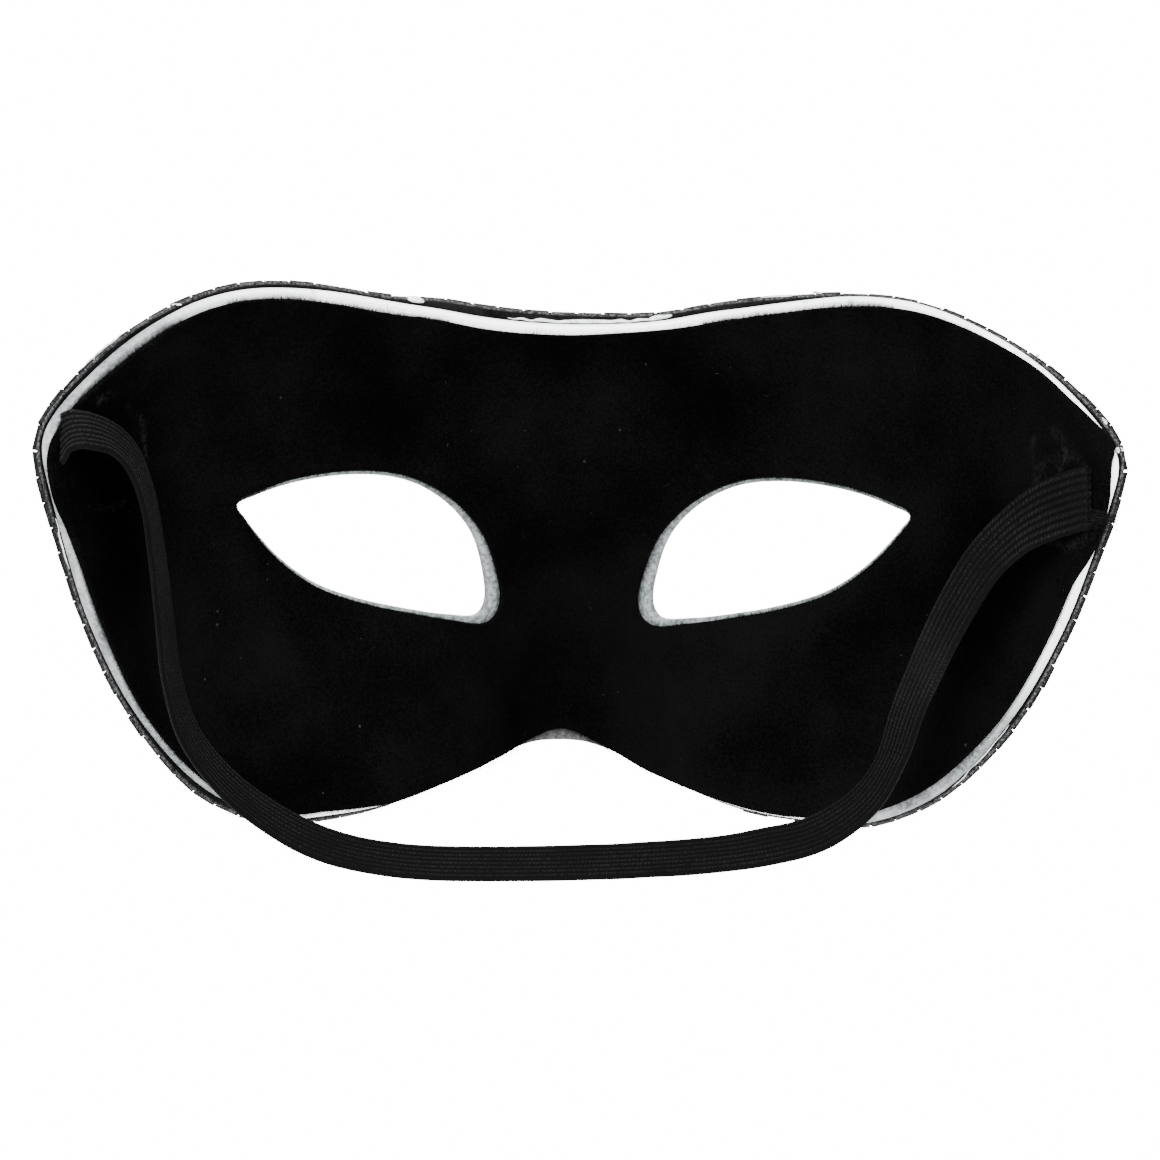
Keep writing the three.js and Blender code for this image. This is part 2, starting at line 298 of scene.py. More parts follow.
@dataclass(frozen=True)
class Outline:
    """The rim and the eye holes as curves on the face, and the spokes between them."""

    face: FaceSurface
    eye_out: float = 35.3
    eye_up: float = 1.6
    eye_width: float = 43.8
    eye_height: float = 22.8
    fineness: int = 3
    rim_rows: tuple[RimRow, ...] = tuple(RimRow(*row) for row in (
        (0.0, 0.895), (0.133, 0.91), (0.265, 0.966), (0.448, 1.0), (0.575, 0.964), (0.729, 0.829),
        (0.879, 0.626), (0.985, 0.427), (0.997, 0.345), (0.976, 0.21), (0.926, 0.007),
        (0.862, -0.259), (0.756, -0.597, 0.9), (0.619, -0.88, 0.65), (0.493, -1.0, 0.5),
        (0.392, -0.993, 0.4), (0.296, -0.955, 0.3), (0.151, -0.84, 0.2), (0.07, -0.755, 0.15),
        (0.0, -0.73, 0.15),
    ))
    eye_rows: tuple[EyeRow, ...] = tuple(EyeRow(*row) for row in (
        (-0.47, 0.851), (-0.242, 0.981), (0.105, 1.0), (0.534, 0.868), (0.86, 0.66), (1.0, 0.525),
        (0.936, 0.35), (0.808, 0.079), (0.626, -0.237), (0.356, -0.561), (0.0, -0.781),
        (-0.356, -0.912), (-0.699, -1.0, 1.15), (-0.94, -1.0, 1.5), (-1.0, -0.8, 1.7),
        (-0.959, -0.254, 1.6), (-0.868, 0.193, 1.4), (-0.699, 0.57, 1.2),
    ))
    cut_rows: tuple[CutRow, ...] = tuple(CutRow(*row) for row in (
        (0.0, 0.1, 1.2, 0.0), (1.0, 0.15, 1.3, -0.15), (1.6, -0.2, 0.9, -0.4),
        (2.0, -0.55, 0.1, -0.75), (2.3, -0.5, -0.5, -1.0), (3.0, 0.0, 0.3, -0.25),
        (4.0, 0.7, 1.0, 0.7), (4.5, 0.95, 1.1, 1.05), (5.0, 0.65, 0.95, 0.75),
        (5.5, 0.25, 0.65, 0.25), (6.0, 0.0, 0.3, 0.45), (7.0, 0.4, 0.15, 1.5),
        (7.5, 0.4, 0.15, 1.7), (8.0, 0.15, 0.0, 1.6), (9.0, -0.15, -0.2, 1.85),
        (9.5, 0.0, -0.15, 1.4), (10.0, 0.4, 0.0, 1.6), (11.0, 0.55, 0.2, 1.2),
        (12.0, 0.55, 0.7, 1.5), (13.0, 0.6, 1.4, 1.05), (14.0, 0.3, 0.95, 0.45),
        (14.6, 0.15, 0.6, 0.0), (15.5, 0.0, 0.3, 0.15), (16.0, 0.0, 0.0, 0.45),
        (17.0, -0.2, -0.6, -0.55), (17.6, -0.35, -0.8, -0.5), (18.0, -0.5, -1.0, -0.95),
        (18.6, -0.4, -1.0, -1.75), (19.0, -0.35, -1.0, -2.0), (19.4, -0.3, -0.9, -1.3),
        (20.0, -0.05, -0.6, -0.35), (21.0, 0.0, 0.05, 0.15), (21.7, 0.3, 0.3, 0.45),
        (22.8, -0.15, -0.15, 0.3), (24.0, -0.1, 0.05, -0.65), (24.5, 0.15, 0.3, -0.5),
        (25.0, 0.45, 0.6, -0.15), (25.5, 0.45, 0.65, 0.25), (26.0, 0.3, 0.7, 0.85),
        (27.0, 0.55, 0.5, 1.3), (27.5, 0.7, 0.6, 1.55), (28.0, 0.7, 0.55, 2.1),
        (28.6, 0.35, 0.3, 2.7), (29.0, 0.25, 0.2, 2.25), (29.5, 0.3, 0.1, 1.75),
        (30.0, 0.5, 0.4, 1.8), (30.5, 0.55, 0.7, 1.95), (31.0, 0.15, 0.3, 2.35),
        (31.4, 0.0, 0.15, 1.5), (32.0, 0.1, 0.1, 1.3), (32.5, 0.25, 0.0, 1.45),
        (33.0, 0.35, -0.15, 1.3), (34.0, 0.55, 0.1, 1.0), (35.0, 0.4, 0.1, 0.35),
        (35.5, 0.0, 0.3, 0.0), (36.0, -0.15, 0.6, -0.15), (36.5, 0.15, 0.7, 0.0),
        (37.0, 0.15, 0.8, 0.35), (37.5, 0.15, 1.05, 0.3),
    ))
    runs: tuple[Run, ...] = (
        Run(22, 0, 8, 0, 5),
        Run(24, 8, 19, 5, 13),
        Run(11, 19, 0, 13, 18, on_middle=True),
    )

    @cached_property
    def rim(self) -> RowCurve:
        """The whole rim: the rows of one half and their mirror images."""
        half = np.array([
            [row.out * self.face.half_spread, self.face.height_of(np.array(row.up)), row.bare]
            for row in self.rim_rows
        ])
        mirrored = half[1:-1][::-1] * np.array([-1, 1, 1])
        return RowCurve(np.concatenate([half, mirrored]), closed=True)

    @cached_property
    def eye(self) -> RowCurve:
        """The left eye hole."""
        rows = np.array([
            [
                self.eye_out + row.out * self.eye_width / 2,
                self.eye_up + row.up * self.eye_height / 2,
                row.bare,
            ]
            for row in self.eye_rows
        ])
        return RowCurve(rows, closed=True)

    @cached_property
    def cuts(self) -> dict[Cut, Array]:
        """Each layer's cut at a hundred places a row: straight lines, then a running mean."""
        count = self.rim.count
        rows = np.arange(count * 100) / 100
        table = {}
        for layer in Cut:
            values = [getattr(row, layer.value) for row in self.cut_rows]
            line = np.interp(rows, [row.row for row in self.cut_rows], values, period=count)
            weights = np.hanning(63)
            padded = np.concatenate([line[-31:], line, line[:31]])
            table[layer] = np.convolve(padded, weights / weights.sum(), "valid")
        return table

    def stands_out(self, layer: Cut | None, rows: Array, side: int = 1) -> Array:
        """How far a layer's cut edge stands out at places on the rim of one half."""
        if layer is None:
            return 0.0 * rows
        count = self.rim.count
        places = (rows if side > 0 else count - rows) % count
        return np.interp(places, np.arange(count * 100) / 100, self.cuts[layer], period=count)

    def edge(
        self, curve: RowCurve, rows: Array, inset: float, out: Array | float = 0.0
    ) -> Array:
        """Points of an edge, moved to the right of the way that it runs by the inset.

        Args:
            curve: The rim or the eye hole.
            rows: Places on the curve.
            inset: How far to move, times each row's own share.
            out: How far to move the other way, in full.

        Returns:
            Distances along the face and heights.
        """
        points = curve.at(rows)
        way = curve.at(rows + 0.02) - curve.at(rows - 0.02)
        way = unit(way[..., :2])
        moved = inset * points[..., 2] - out
        return np.stack([points[..., 0] + way[..., 1] * moved, points[..., 1] - way[..., 0] * moved], axis=-1)

    @cached_property
    def spokes(self) -> dict[str, Array]:
        """The spokes round the left eye hole: their rows, and where they end on the middle line."""
        columns: dict[str, list[Array]] = {"rim": [], "eye": [], "share": [], "middle": []}
        for run in self.runs:
            share = np.arange(run.cells * self.fineness) / (run.cells * self.fineness)
            columns["rim"].append(run.rim_from + (run.rim_to - run.rim_from) * share)
            columns["eye"].append(run.eye_from + (run.eye_to - run.eye_from) * share)
            columns["share"].append(share)
            columns["middle"].append(np.full(share.shape, run.on_middle))
        return {name: np.concatenate(parts) for name, parts in columns.items()}

    def outer_ends(self, inset: float, layer: Cut | None = None, side: int = 1) -> Array:
        """The spokes' ends on the rim or the middle line, for a layer set back by the inset."""
        spokes = self.spokes
        ends = self.edge(self.rim, spokes["rim"], inset, self.stands_out(layer, spokes["rim"], side))
        on_middle = np.array([float(len(self.rim_rows) - 1), 0.0])
        bottom, top = self.edge(self.rim, on_middle, inset, self.stands_out(layer, on_middle))[:, 1]
        middle = np.stack([0 * spokes["share"], bottom + (top - bottom) * spokes["share"]], axis=-1)
        return np.where(spokes["middle"][:, None], middle, ends)

    def inner_ends(self, inset: float) -> Array:
        """The spokes' ends on the eye hole, for a layer set back from it by the inset."""
        return self.edge(self.eye, self.spokes["eye"], -inset)


# Meshes


def weld(
    points: Array, faces: Array, marks: Array, reach: float = 1e-3
) -> tuple[Array, Array, Array]:
    """Joins points that lie on the same place and drops those that no face uses.

    Args:
        points: Points in millimetres.
        faces: Corners of the faces, one face a row.
        marks: Numbers for each point.
        reach: Points nearer to each other than this are one.

    Returns:
        The points that are left, the faces with their new corners and the points' numbers.
    """
    keys = np.round(points / reach).astype(np.int64)
    _, first, owner = np.unique(keys, axis=0, return_index=True, return_inverse=True)
    faces = owner.reshape(-1)[faces]
    used, corners = np.unique(faces, return_inverse=True)
    kept = first[used]
    return points[kept], corners.reshape(faces.shape), marks[kept]


def grid_faces(rows: int, columns: int, wrap_rows: bool, wrap_columns: bool) -> Array:
    """Quads between neighbours of a grid whose points are numbered row by row."""
    row = np.arange(rows if wrap_rows else rows - 1)[:, None]
    column = np.arange(columns if wrap_columns else columns - 1)[None, :]
    next_row, next_column = (row + 1) % rows, (column + 1) % columns
    quads = np.stack([
        row * columns + column,
        next_row * columns + column,
        next_row * columns + next_column,
        row * columns + next_column,
    ], axis=-1)
    return quads.reshape(-1, 4)


def outward(points: Array, faces: Array) -> Array:
    """Turns all faces round if the volume that they enclose comes out negative."""
    corners = points[faces]
    volume = 0.0
    for k in range(1, faces.shape[1] - 1):
        volume += np.einsum("ij,ij->", corners[:, 0], np.cross(corners[:, k], corners[:, k + 1]))
    return faces if volume > 0 else faces[:, ::-1]


def new_object(
    name: str,
    points: Array,
    face_sets: list[Array],
    smooth: bool = True,
    uv: Array | None = None,
    marks: dict[str, Array] | None = None,
) -> Piece:
    """Puts whole arrays into a new mesh object at the origin.

    Args:
        name: The object's name.
        points: Points in millimetres.
        face_sets: Arrays of faces, each with its own number of corners.
        smooth: Whether the faces are shaded smooth.
        uv: One pair for each corner of each face, in the order of the faces.
        marks: Numbers for each point, kept as named attributes.

    Returns:
        The new object.
    """
    mesh = bpy.data.meshes.new(name)
    mesh.vertices.add(len(points))
    mesh.vertices.foreach_set("co", (points * MM).astype(np.float32).ravel())
    corners = np.concatenate([faces.ravel() for faces in face_sets]).astype(np.int32)
    sizes = np.concatenate([np.full(len(faces), faces.shape[1]) for faces in face_sets])
    starts = np.concatenate([[0], np.cumsum(sizes)[:-1]]).astype(np.int32)
    mesh.loops.add(len(corners))
    mesh.loops.foreach_set("vertex_index", corners)
    mesh.polygons.add(len(sizes))
    mesh.polygons.foreach_set("loop_start", starts)
    if uv is not None:
        layer = mesh.uv_layers.new(name="UVMap")
        layer.data.foreach_set("uv", uv.astype(np.float32).ravel())
    for mark, values in (marks or {}).items():
        attribute = mesh.attributes.new(mark, "FLOAT", "POINT")
        attribute.data.foreach_set("value", values.astype(np.float32))
    mesh.update(calc_edges=True)
    mesh.validate()
    mesh.polygons.foreach_set("use_smooth", np.full(len(mesh.polygons), smooth))
    piece = bpy.data.objects.new(name, mesh)
    bpy.context.scene.collection.objects.link(piece)
    return piece


def settle(piece: Piece, slot: Slot, *nodes: str) -> None:
    """Lets a piece ride on the part and hides the nodes that it stands for."""
    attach(piece, BODY)
    if nodes:
        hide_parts(*nodes)


@dataclass(frozen=True)
class Station:
    """A station of a layer's section, from the eye hole to the rim and back on its other side.

    t goes from the eye hole at 0 to the rim at 1. at_eye and at_rim are the setbacks there,
    and depth is how far the station lies in front of the wearer's side of the shell.
    """

    t: float
    at_eye: float
    at_rim: float
    depth: float


@dataclass(frozen=True)
class Spots:
    """Points of a layer before it is laid on the face, by station and spoke."""

    along: Array
    height: Array
    depth: Array
    to_rim: Array
    rows: Array
    side: int


@dataclass(frozen=True)
class LayerSection:
    """The section of a layer between two depths, with rounded edges."""

    back: float
    front: float
    at_rim: float
    at_eye: float
    round_over: float = 0.3
    cut: Cut | None = None
    rings: int = 22
    round_steps: int = 3

    def stations(self) -> list[Station]:
        """The stations: over the wearer's side, round the rim, over the front and round the hole.

        An edge is a quarter circle on each side: its setback grows with 1 - sin and its depth
        with 1 - cos of an angle that goes from 0 to 90 degrees.
        """
        radius = min(self.round_over, (self.front - self.back) / 2)
        angles = np.linspace(0, math.pi / 2, self.round_steps + 1)
        curve = [(radius * (1 - math.sin(a)), radius * (1 - math.cos(a))) for a in angles]
        shares = np.linspace(0, 1, self.rings + 1)
        eye_full, rim_full = self.at_eye + radius, self.at_rim + radius
        over_back = [Station(t, eye_full, rim_full, self.back) for t in shares]
        over_front = [Station(t, eye_full, rim_full, self.front) for t in shares[::-1]]
        rim_back = [Station(1, eye_full, self.at_rim + a, self.back + b) for a, b in curve[1:]]
        rim_front = [Station(1, eye_full, self.at_rim + a, self.front - b) for a, b in curve[1:][::-1]]
        eye_front = [Station(0, self.at_eye + a, rim_full, self.front - b) for a, b in curve[1:]]
        eye_back = [Station(0, self.at_eye + a, rim_full, self.back + b) for a, b in curve[1:][::-1]]
        return over_back + rim_back + rim_front + over_front + eye_front + eye_back


def layer_mesh(
    outline: Outline, section: LayerSection, relief: Callable[[Spots], Array] | None = None
) -> tuple[Array, Array, Array]:
    """A layer of the mask as one closed skin.

    Each point is where a station of the section meets a spoke: a straight blend between the
    spoke's two ends, carried onto the face and moved along its normal by the depth. The
    other half is the mirror image, and the two are welded on the middle line.

    Args:
        outline: The rim, the eye holes and the spokes.
        section: The layer's section.
        relief: A function of distance along the face, height and depth that moves the depth.

    Returns:
        Points, faces, and two numbers for each point: how near it is to an edge, from 0 to 1,
        and its distance from the eye hole.
    """
    stations = section.stations()
    ends_in = {value: outline.inner_ends(value) for value in {s.at_eye for s in stations}}
    halves, marks = [], []
    for side in (1, -1):
        ends_out = {
            value: outline.outer_ends(value, section.cut, side) for value in {s.at_rim for s in stations}
        }
        places = np.stack([ends_in[s.at_eye] * (1 - s.t) + ends_out[s.at_rim] * s.t for s in stations])
        depth = np.array([s.depth for s in stations])[:, None] + np.zeros(places.shape[:2])
        to_eye = np.linalg.norm(places - outline.inner_ends(section.at_eye)[None], axis=-1)
        to_rim = np.linalg.norm(places - outline.outer_ends(section.at_rim, section.cut, side)[None], axis=-1)
        to_rim = np.where(outline.spokes["middle"][None, :], 99.0, to_rim)
        along, height = side * places[..., 0], places[..., 1]
        if relief:
            rows = np.broadcast_to(outline.spokes["rim"][None], along.shape)
            depth = depth + relief(Spots(along, height, depth, to_rim, rows, side))
        points = outline.face.layer(along, height, depth)
        points[..., 0] = np.where(np.abs(places[..., 0]) < 1e-6, 0.0, points[..., 0])
        halves.append(points.reshape(-1, 3))
        near_edge = np.clip(1 - np.minimum(to_eye, to_rim) / EDGE_REACH, 0, 1)
        marks.append(np.stack([near_edge, to_eye], axis=-1).reshape(-1, 2))
    count, spokes = places.shape[:2]
    quads = grid_faces(count, spokes, wrap_rows=True, wrap_columns=True)
    row, column = quads[:, 0] // spokes, quads[:, 0] % spokes
    past_rim = np.array([s.t == 1 for s in stations])
    on_wall = past_rim[row] & past_rim[(row + 1) % count]
    quads = quads[~(on_wall & outline.spokes["middle"][column])]
    faces = np.concatenate([quads, quads[:, ::-1] + count * spokes])
    points, faces, kept_marks = weld(np.concatenate(halves), faces, np.concatenate(marks))
    return points, outward(points, faces), kept_marks


def fibre_mesh(
    roots: Array, ways: Array, bends: Array, lengths: Array, widths: Array
) -> tuple[Array, list[Array]]:
    """Many short tapering hairs as closed three-sided spikes.

    A hair's middle line is root + way * s + bend * s^2, for s from 0 to its length over three
    rings, and its three sides stand at 120 degrees round it, narrowing to the tip.

    Args:
        roots: Where the hairs start.
        ways: Unit directions at the roots.
        bends: How far each hair leaves its direction, for each millimetre squared.
        lengths: The hairs' lengths.
        widths: Half widths at the roots.

    Returns:
        Points, and two sets of faces: the sides and the tips with the closed roots.
    """
    side = unit(np.cross(ways, np.array([0.31, 0.17, 0.93])))
    other = np.cross(ways, side)
    angles = np.arange(3) * 2 * math.pi / 3
    around = np.cos(angles)[None, :, None] * side[:, None] + np.sin(angles)[None, :, None] * other[:, None]
    rings = []
    for share, width in ((0.0, 1.0), (0.55, 0.7)):
        s = (lengths * share)[:, None]
        middle = roots + ways * s + bends * s**2
        rings.append(middle[:, None] + around * (widths * width)[:, None, None])
    s = lengths[:, None]
    tips = (roots + ways * s + bends * s**2)[:, None]
    points = np.concatenate([*rings, tips], axis=1)
    first = (np.arange(len(roots)) * 7)[:, None]
    quads = [first + np.array([k, (k + 1) % 3, 3 + (k + 1) % 3, 3 + k]) for k in range(3)]
    points_up = [first + np.array([3 + k, 3 + (k + 1) % 3, 6]) for k in range(3)]
    base = first + np.array([0, 2, 1])
    return points.reshape(-1, 3), [np.concatenate(quads), np.concatenate([*points_up, base])]


def tube_mesh(paths: Array, radii: Array, sides: int = 5) -> tuple[Array, list[Array]]:
    """Closed thin tubes along many paths.

    At each step the ring is middle + radius * (cos a * side + sin a * other), with side and
    other square to the path.

    Args:
        paths: Middles, by tube, by step.
        radii: Radii, by tube, by step.
        sides: Sides of a ring.

    Returns:
        Points, and two sets of faces: the walls and the two ends.
    """
    count, steps = paths.shape[:2]
    way = unit(np.gradient(paths, axis=1))
    side = unit(np.cross(way, np.array([0.2, 0.3, 0.93])))
    other = np.cross(way, side)
    angles = np.arange(sides) * 2 * math.pi / sides
    ring = side[:, :, None] * np.cos(angles)[:, None] + other[:, :, None] * np.sin(angles)[:, None]
    points = paths[:, :, None] + ring * radii[:, :, None, None]
    first = (np.arange(count) * steps * sides)[:, None, None]
    walls = grid_faces(steps, sides, wrap_rows=False, wrap_columns=True)[None] + first
    start = first[:, 0] + np.arange(sides)[None]
    end = start[:, ::-1] + (steps - 1) * sides
    return points.reshape(-1, 3), [walls.reshape(-1, 4)[:, ::-1], np.concatenate([start, end])]


# Shader node groups


class Group:
    """A shader node group while it is built: its tree, its ends and short ways to add nodes."""

    def __init__(self, name: str, inputs: dict[str, tuple[str, object]], outputs: dict[str, str]) -> None:
        """Makes the group with its sockets.

        Args:
            name: The group's name.
            inputs: For each input its kind and its default.
            outputs: For each output its kind.
        """
        self.tree = bpy.data.node_groups.new(name, "ShaderNodeTree")
        for socket, (kind, default) in inputs.items():
            made = self.tree.interface.new_socket(socket, in_out="INPUT", socket_type=f"NodeSocket{kind}")
            if default is not None:
                made.default_value = default
        for socket, kind in outputs.items():
            self.tree.interface.new_socket(socket, in_out="OUTPUT", socket_type=f"NodeSocket{kind}")
        self.inputs = self.tree.nodes.new("NodeGroupInput").outputs
        self.outputs = self.tree.nodes.new("NodeGroupOutput").inputs


def connect(tree: Tree, value: object, socket: Socket) -> None:
    """Links a socket to another, or sets a plain value on it."""
    if isinstance(value, Socket):
        tree.links.new(value, socket)
    else:
        socket.default_value = value


def calculate(tree: Tree, how: str, *values: object) -> Socket:
    """A Math node on sockets or numbers.

    Args:
        tree: The tree that it goes into.
        how: The node's operation.
        values: Sockets or numbers, in the node's order.

    Returns:
        The result's socket.
    """
    node = tree.nodes.new("ShaderNodeMath")
    node.operation = how
    for value, socket in zip(values, node.inputs):
        connect(tree, value, socket)
    return node.outputs[0]


def remap(
    tree: Tree, value: object, low: float, high: float, to_low: float = 0.0, to_high: float = 1.0
) -> Socket:
    """A Map Range node, smooth and clamped.

    Args:
        tree: The tree that it goes into.
        value: The socket or number that is mapped.
        low: The value that gives to_low.
        high: The value that gives to_high.
        to_low: The result at low.
        to_high: The result at high.

    Returns:
        The result's socket.
    """
    node = tree.nodes.new("ShaderNodeMapRange")
    node.interpolation_type = "SMOOTHSTEP"
    for socket, number in zip(node.inputs[:5], (value, low, high, to_low, to_high)):
        connect(tree, number, socket)
    return node.outputs[0]


def blend(tree: Tree, share: object, first: object, second: object) -> Socket:
    """A colour between two others.

    Args:
        tree: The tree that it goes into.
        share: The share of the second colour.
        first: A colour or its socket.
        second: A colour or its socket.

    Returns:
        The mixed colour's socket.
    """
    node = tree.nodes.new("ShaderNodeMix")
    node.data_type = "RGBA"
    for index, value in ((0, share), (6, first), (7, second)):
        connect(tree, value, node.inputs[index])
    return node.outputs[2]


def noise(
    tree: Tree, vector: Socket, scale: object, detail: float = 3.0, rough: float = 0.55
) -> Socket:
    """A Noise Texture's grey value.

    Args:
        tree: The tree that it goes into.
        vector: Where the noise is read.
        scale: How many hills there are to a unit of the vector.
        detail: How many finer noises are added.
        rough: How strong the finer noises are.

    Returns:
        The value's socket.
    """
    node = tree.nodes.new("ShaderNodeTexNoise")
    for name, value in (("Vector", vector), ("Scale", scale), ("Detail", detail), ("Roughness", rough)):
        connect(tree, value, node.inputs[name])
    return node.outputs["Fac"]


def place(
    tree: Tree, group: Tree, **values: object
) -> bpy.types.bpy_prop_collection:
    """A group's node in a tree.

    Args:
        tree: The tree that it goes into.
        group: The node group.
        values: What each input is linked to or set to, by its name.

    Returns:
        The node's outputs.
    """
    node = tree.nodes.new("ShaderNodeGroup")
    node.node_tree = group
    for name, value in values.items():
        connect(tree, value, node.inputs[name])
    return node.outputs


class SurfaceEffects:
    """The node groups that several finishes share, each built once."""

    @cached_property
    def mottle(self) -> Tree:
        """Soft uneven patches: a colour between two, from noise at two scales, and a height."""
        group = Group(
            "soft_mottle",
            {
                "Vector": ("Vector", None),
                "First": ("Color", (0, 0, 0, 1)),
                "Second": ("Color", (1, 1, 1, 1)),
                "Scale": ("Float", 60.0),
                "Fine": ("Float", 900.0),
            },
            {"Color": "Color", "Height": "Float"},
        )
        tree, ends = group.tree, group.inputs
        broad = noise(tree, ends["Vector"], ends["Scale"], 3.0)
        fine = noise(tree, ends["Vector"], ends["Fine"], 4.0, 0.7)
        mixed = calculate(tree, "MULTIPLY_ADD", fine, 0.5, calculate(tree, "MULTIPLY", broad, 0.5))
        mask = remap(tree, mixed, 0.36, 0.64)
        tree.links.new(blend(tree, mask, ends["First"], ends["Second"]), group.outputs["Color"])
        tree.links.new(fine, group.outputs["Height"])
        return group.tree

    @cached_property
    def specks(self) -> Tree:
        """Sparse small specks: a mask that is 1 near the points of a few random cells."""
        group = Group(
            "sparse_specks",
            {
                "Vector": ("Vector", None),
                "Scale": ("Float", 300.0),
                "Size": ("Float", 0.12),
                "Rarity": ("Float", 0.8),
            },
            {"Mask": "Float"},
        )
        tree, ends = group.tree, group.inputs
        cells = tree.nodes.new("ShaderNodeTexVoronoi")
        tree.links.new(ends["Vector"], cells.inputs["Vector"])
        tree.links.new(ends["Scale"], cells.inputs["Scale"])
        parts = tree.nodes.new("ShaderNodeSeparateColor")
        tree.links.new(cells.outputs["Color"], parts.inputs[0])
        kept = calculate(tree, "GREATER_THAN", parts.outputs[0], ends["Rarity"])
        size = calculate(tree, "MULTIPLY", ends["Size"], calculate(tree, "ADD", parts.outputs[1], 0.3))
        inside = calculate(tree, "LESS_THAN", cells.outputs["Distance"], size)
        tree.links.new(calculate(tree, "MULTIPLY", kept, inside), group.outputs["Mask"])
        return group.tree

    @cached_property
    def fine_scratches(self) -> Tree:
        """Thin random lines: noise stretched one way, of which only a thin band counts."""
        group = Group(
            "fine_scratches",
            {"Vector": ("Vector", None), "Scale": ("Float", 90.0)},
            {"Mask": "Float"},
        )
        tree, ends = group.tree, group.inputs
        turned = tree.nodes.new("ShaderNodeMapping")
        turned.inputs["Rotation"].default_value = (0.3, 0.5, 0.7)
        turned.inputs["Scale"].default_value = (1.0, 1.0, 9.0)
        tree.links.new(ends["Vector"], turned.inputs["Vector"])
        lines = noise(tree, turned.outputs[0], ends["Scale"], 2.0)
        offset = calculate(tree, "ABSOLUTE", calculate(tree, "SUBTRACT", lines, 0.5))
        tree.links.new(remap(tree, offset, 0.0, 0.012, 1.0, 0.0), group.outputs["Mask"])
        return group.tree

    @cached_property
    def pad_edge_highlight(self) -> Tree:
        """A painted highlight: a broken soft ring round a point, whose radius wanders by a noise."""
        group = Group(
            "pad_edge_highlight",
            {
                "Vector": ("Vector", None),
                "Middle": ("Vector", None),
                "Radius": ("Float", 0.008),
                "Width": ("Float", 0.0006),
            },
            {"Mask": "Float"},
        )
        tree, ends = group.tree, group.inputs
        measure = tree.nodes.new("ShaderNodeVectorMath")
        measure.operation = "DISTANCE"
        tree.links.new(ends["Vector"], measure.inputs[0])
        tree.links.new(ends["Middle"], measure.inputs[1])
        wander = calculate(tree, "SUBTRACT", noise(tree, ends["Vector"], 150.0, 4.0), 0.5)
        radius = calculate(tree, "MULTIPLY_ADD", wander, 0.0025, ends["Radius"])
        off = calculate(tree, "ABSOLUTE", calculate(tree, "SUBTRACT", measure.outputs["Value"], radius))
        ring = remap(tree, calculate(tree, "DIVIDE", off, ends["Width"]), 0.0, 1.0, 1.0, 0.0)
        kept = remap(tree, noise(tree, ends["Vector"], 110.0, 2.0), 0.44, 0.6)
        tree.links.new(calculate(tree, "MULTIPLY", ring, kept), group.outputs["Mask"])
        return group.tree

    @cached_property
    def braid(self) -> Tree:
        """Braided threads along a ribbed band.

        The band's UV holds millimetres along it and across it. Slanted waves that change
        their slant from rib to rib make the plait, and short cross waves the wefts.
        """
        group = Group(
            "braided_ribs",
            {
                "UV": ("Vector", None),
                "Rib": ("Float", 1.2),
                "Pick": ("Float", 0.62),
            },
            {"Height": "Float"},
        )
        tree, ends = group.tree, group.inputs
        parts = tree.nodes.new("ShaderNodeSeparateXYZ")
        tree.links.new(ends["UV"], parts.inputs[0])
        along, across = parts.outputs[0], parts.outputs[1]
        in_rib = calculate(tree, "DIVIDE", across, ends["Rib"])
        from_middle = calculate(tree, "SUBTRACT", calculate(tree, "FRACT", in_rib), 0.5)
        slant = calculate(tree, "ABSOLUTE", from_middle)
        leaned = calculate(tree, "MULTIPLY_ADD", slant, 0.9, calculate(tree, "DIVIDE", along, ends["Pick"]))
        shifted = calculate(tree, "MULTIPLY_ADD", calculate(tree, "FLOOR", in_rib), 0.37, leaned)
        wander = calculate(tree, "MULTIPLY_ADD", noise(tree, ends["UV"], 0.9, 2.0), 2.4, shifted)
        stitch = calculate(tree, "SINE", calculate(tree, "MULTIPLY", wander, 2 * math.pi))
        fuzz = noise(tree, ends["UV"], 7.0, 3.0, 0.7)
        height = calculate(tree, "MULTIPLY_ADD", stitch, 0.2, fuzz)
        tree.links.new(height, group.outputs["Height"])
        return group.tree


effects = SurfaceEffects()


# Finishes


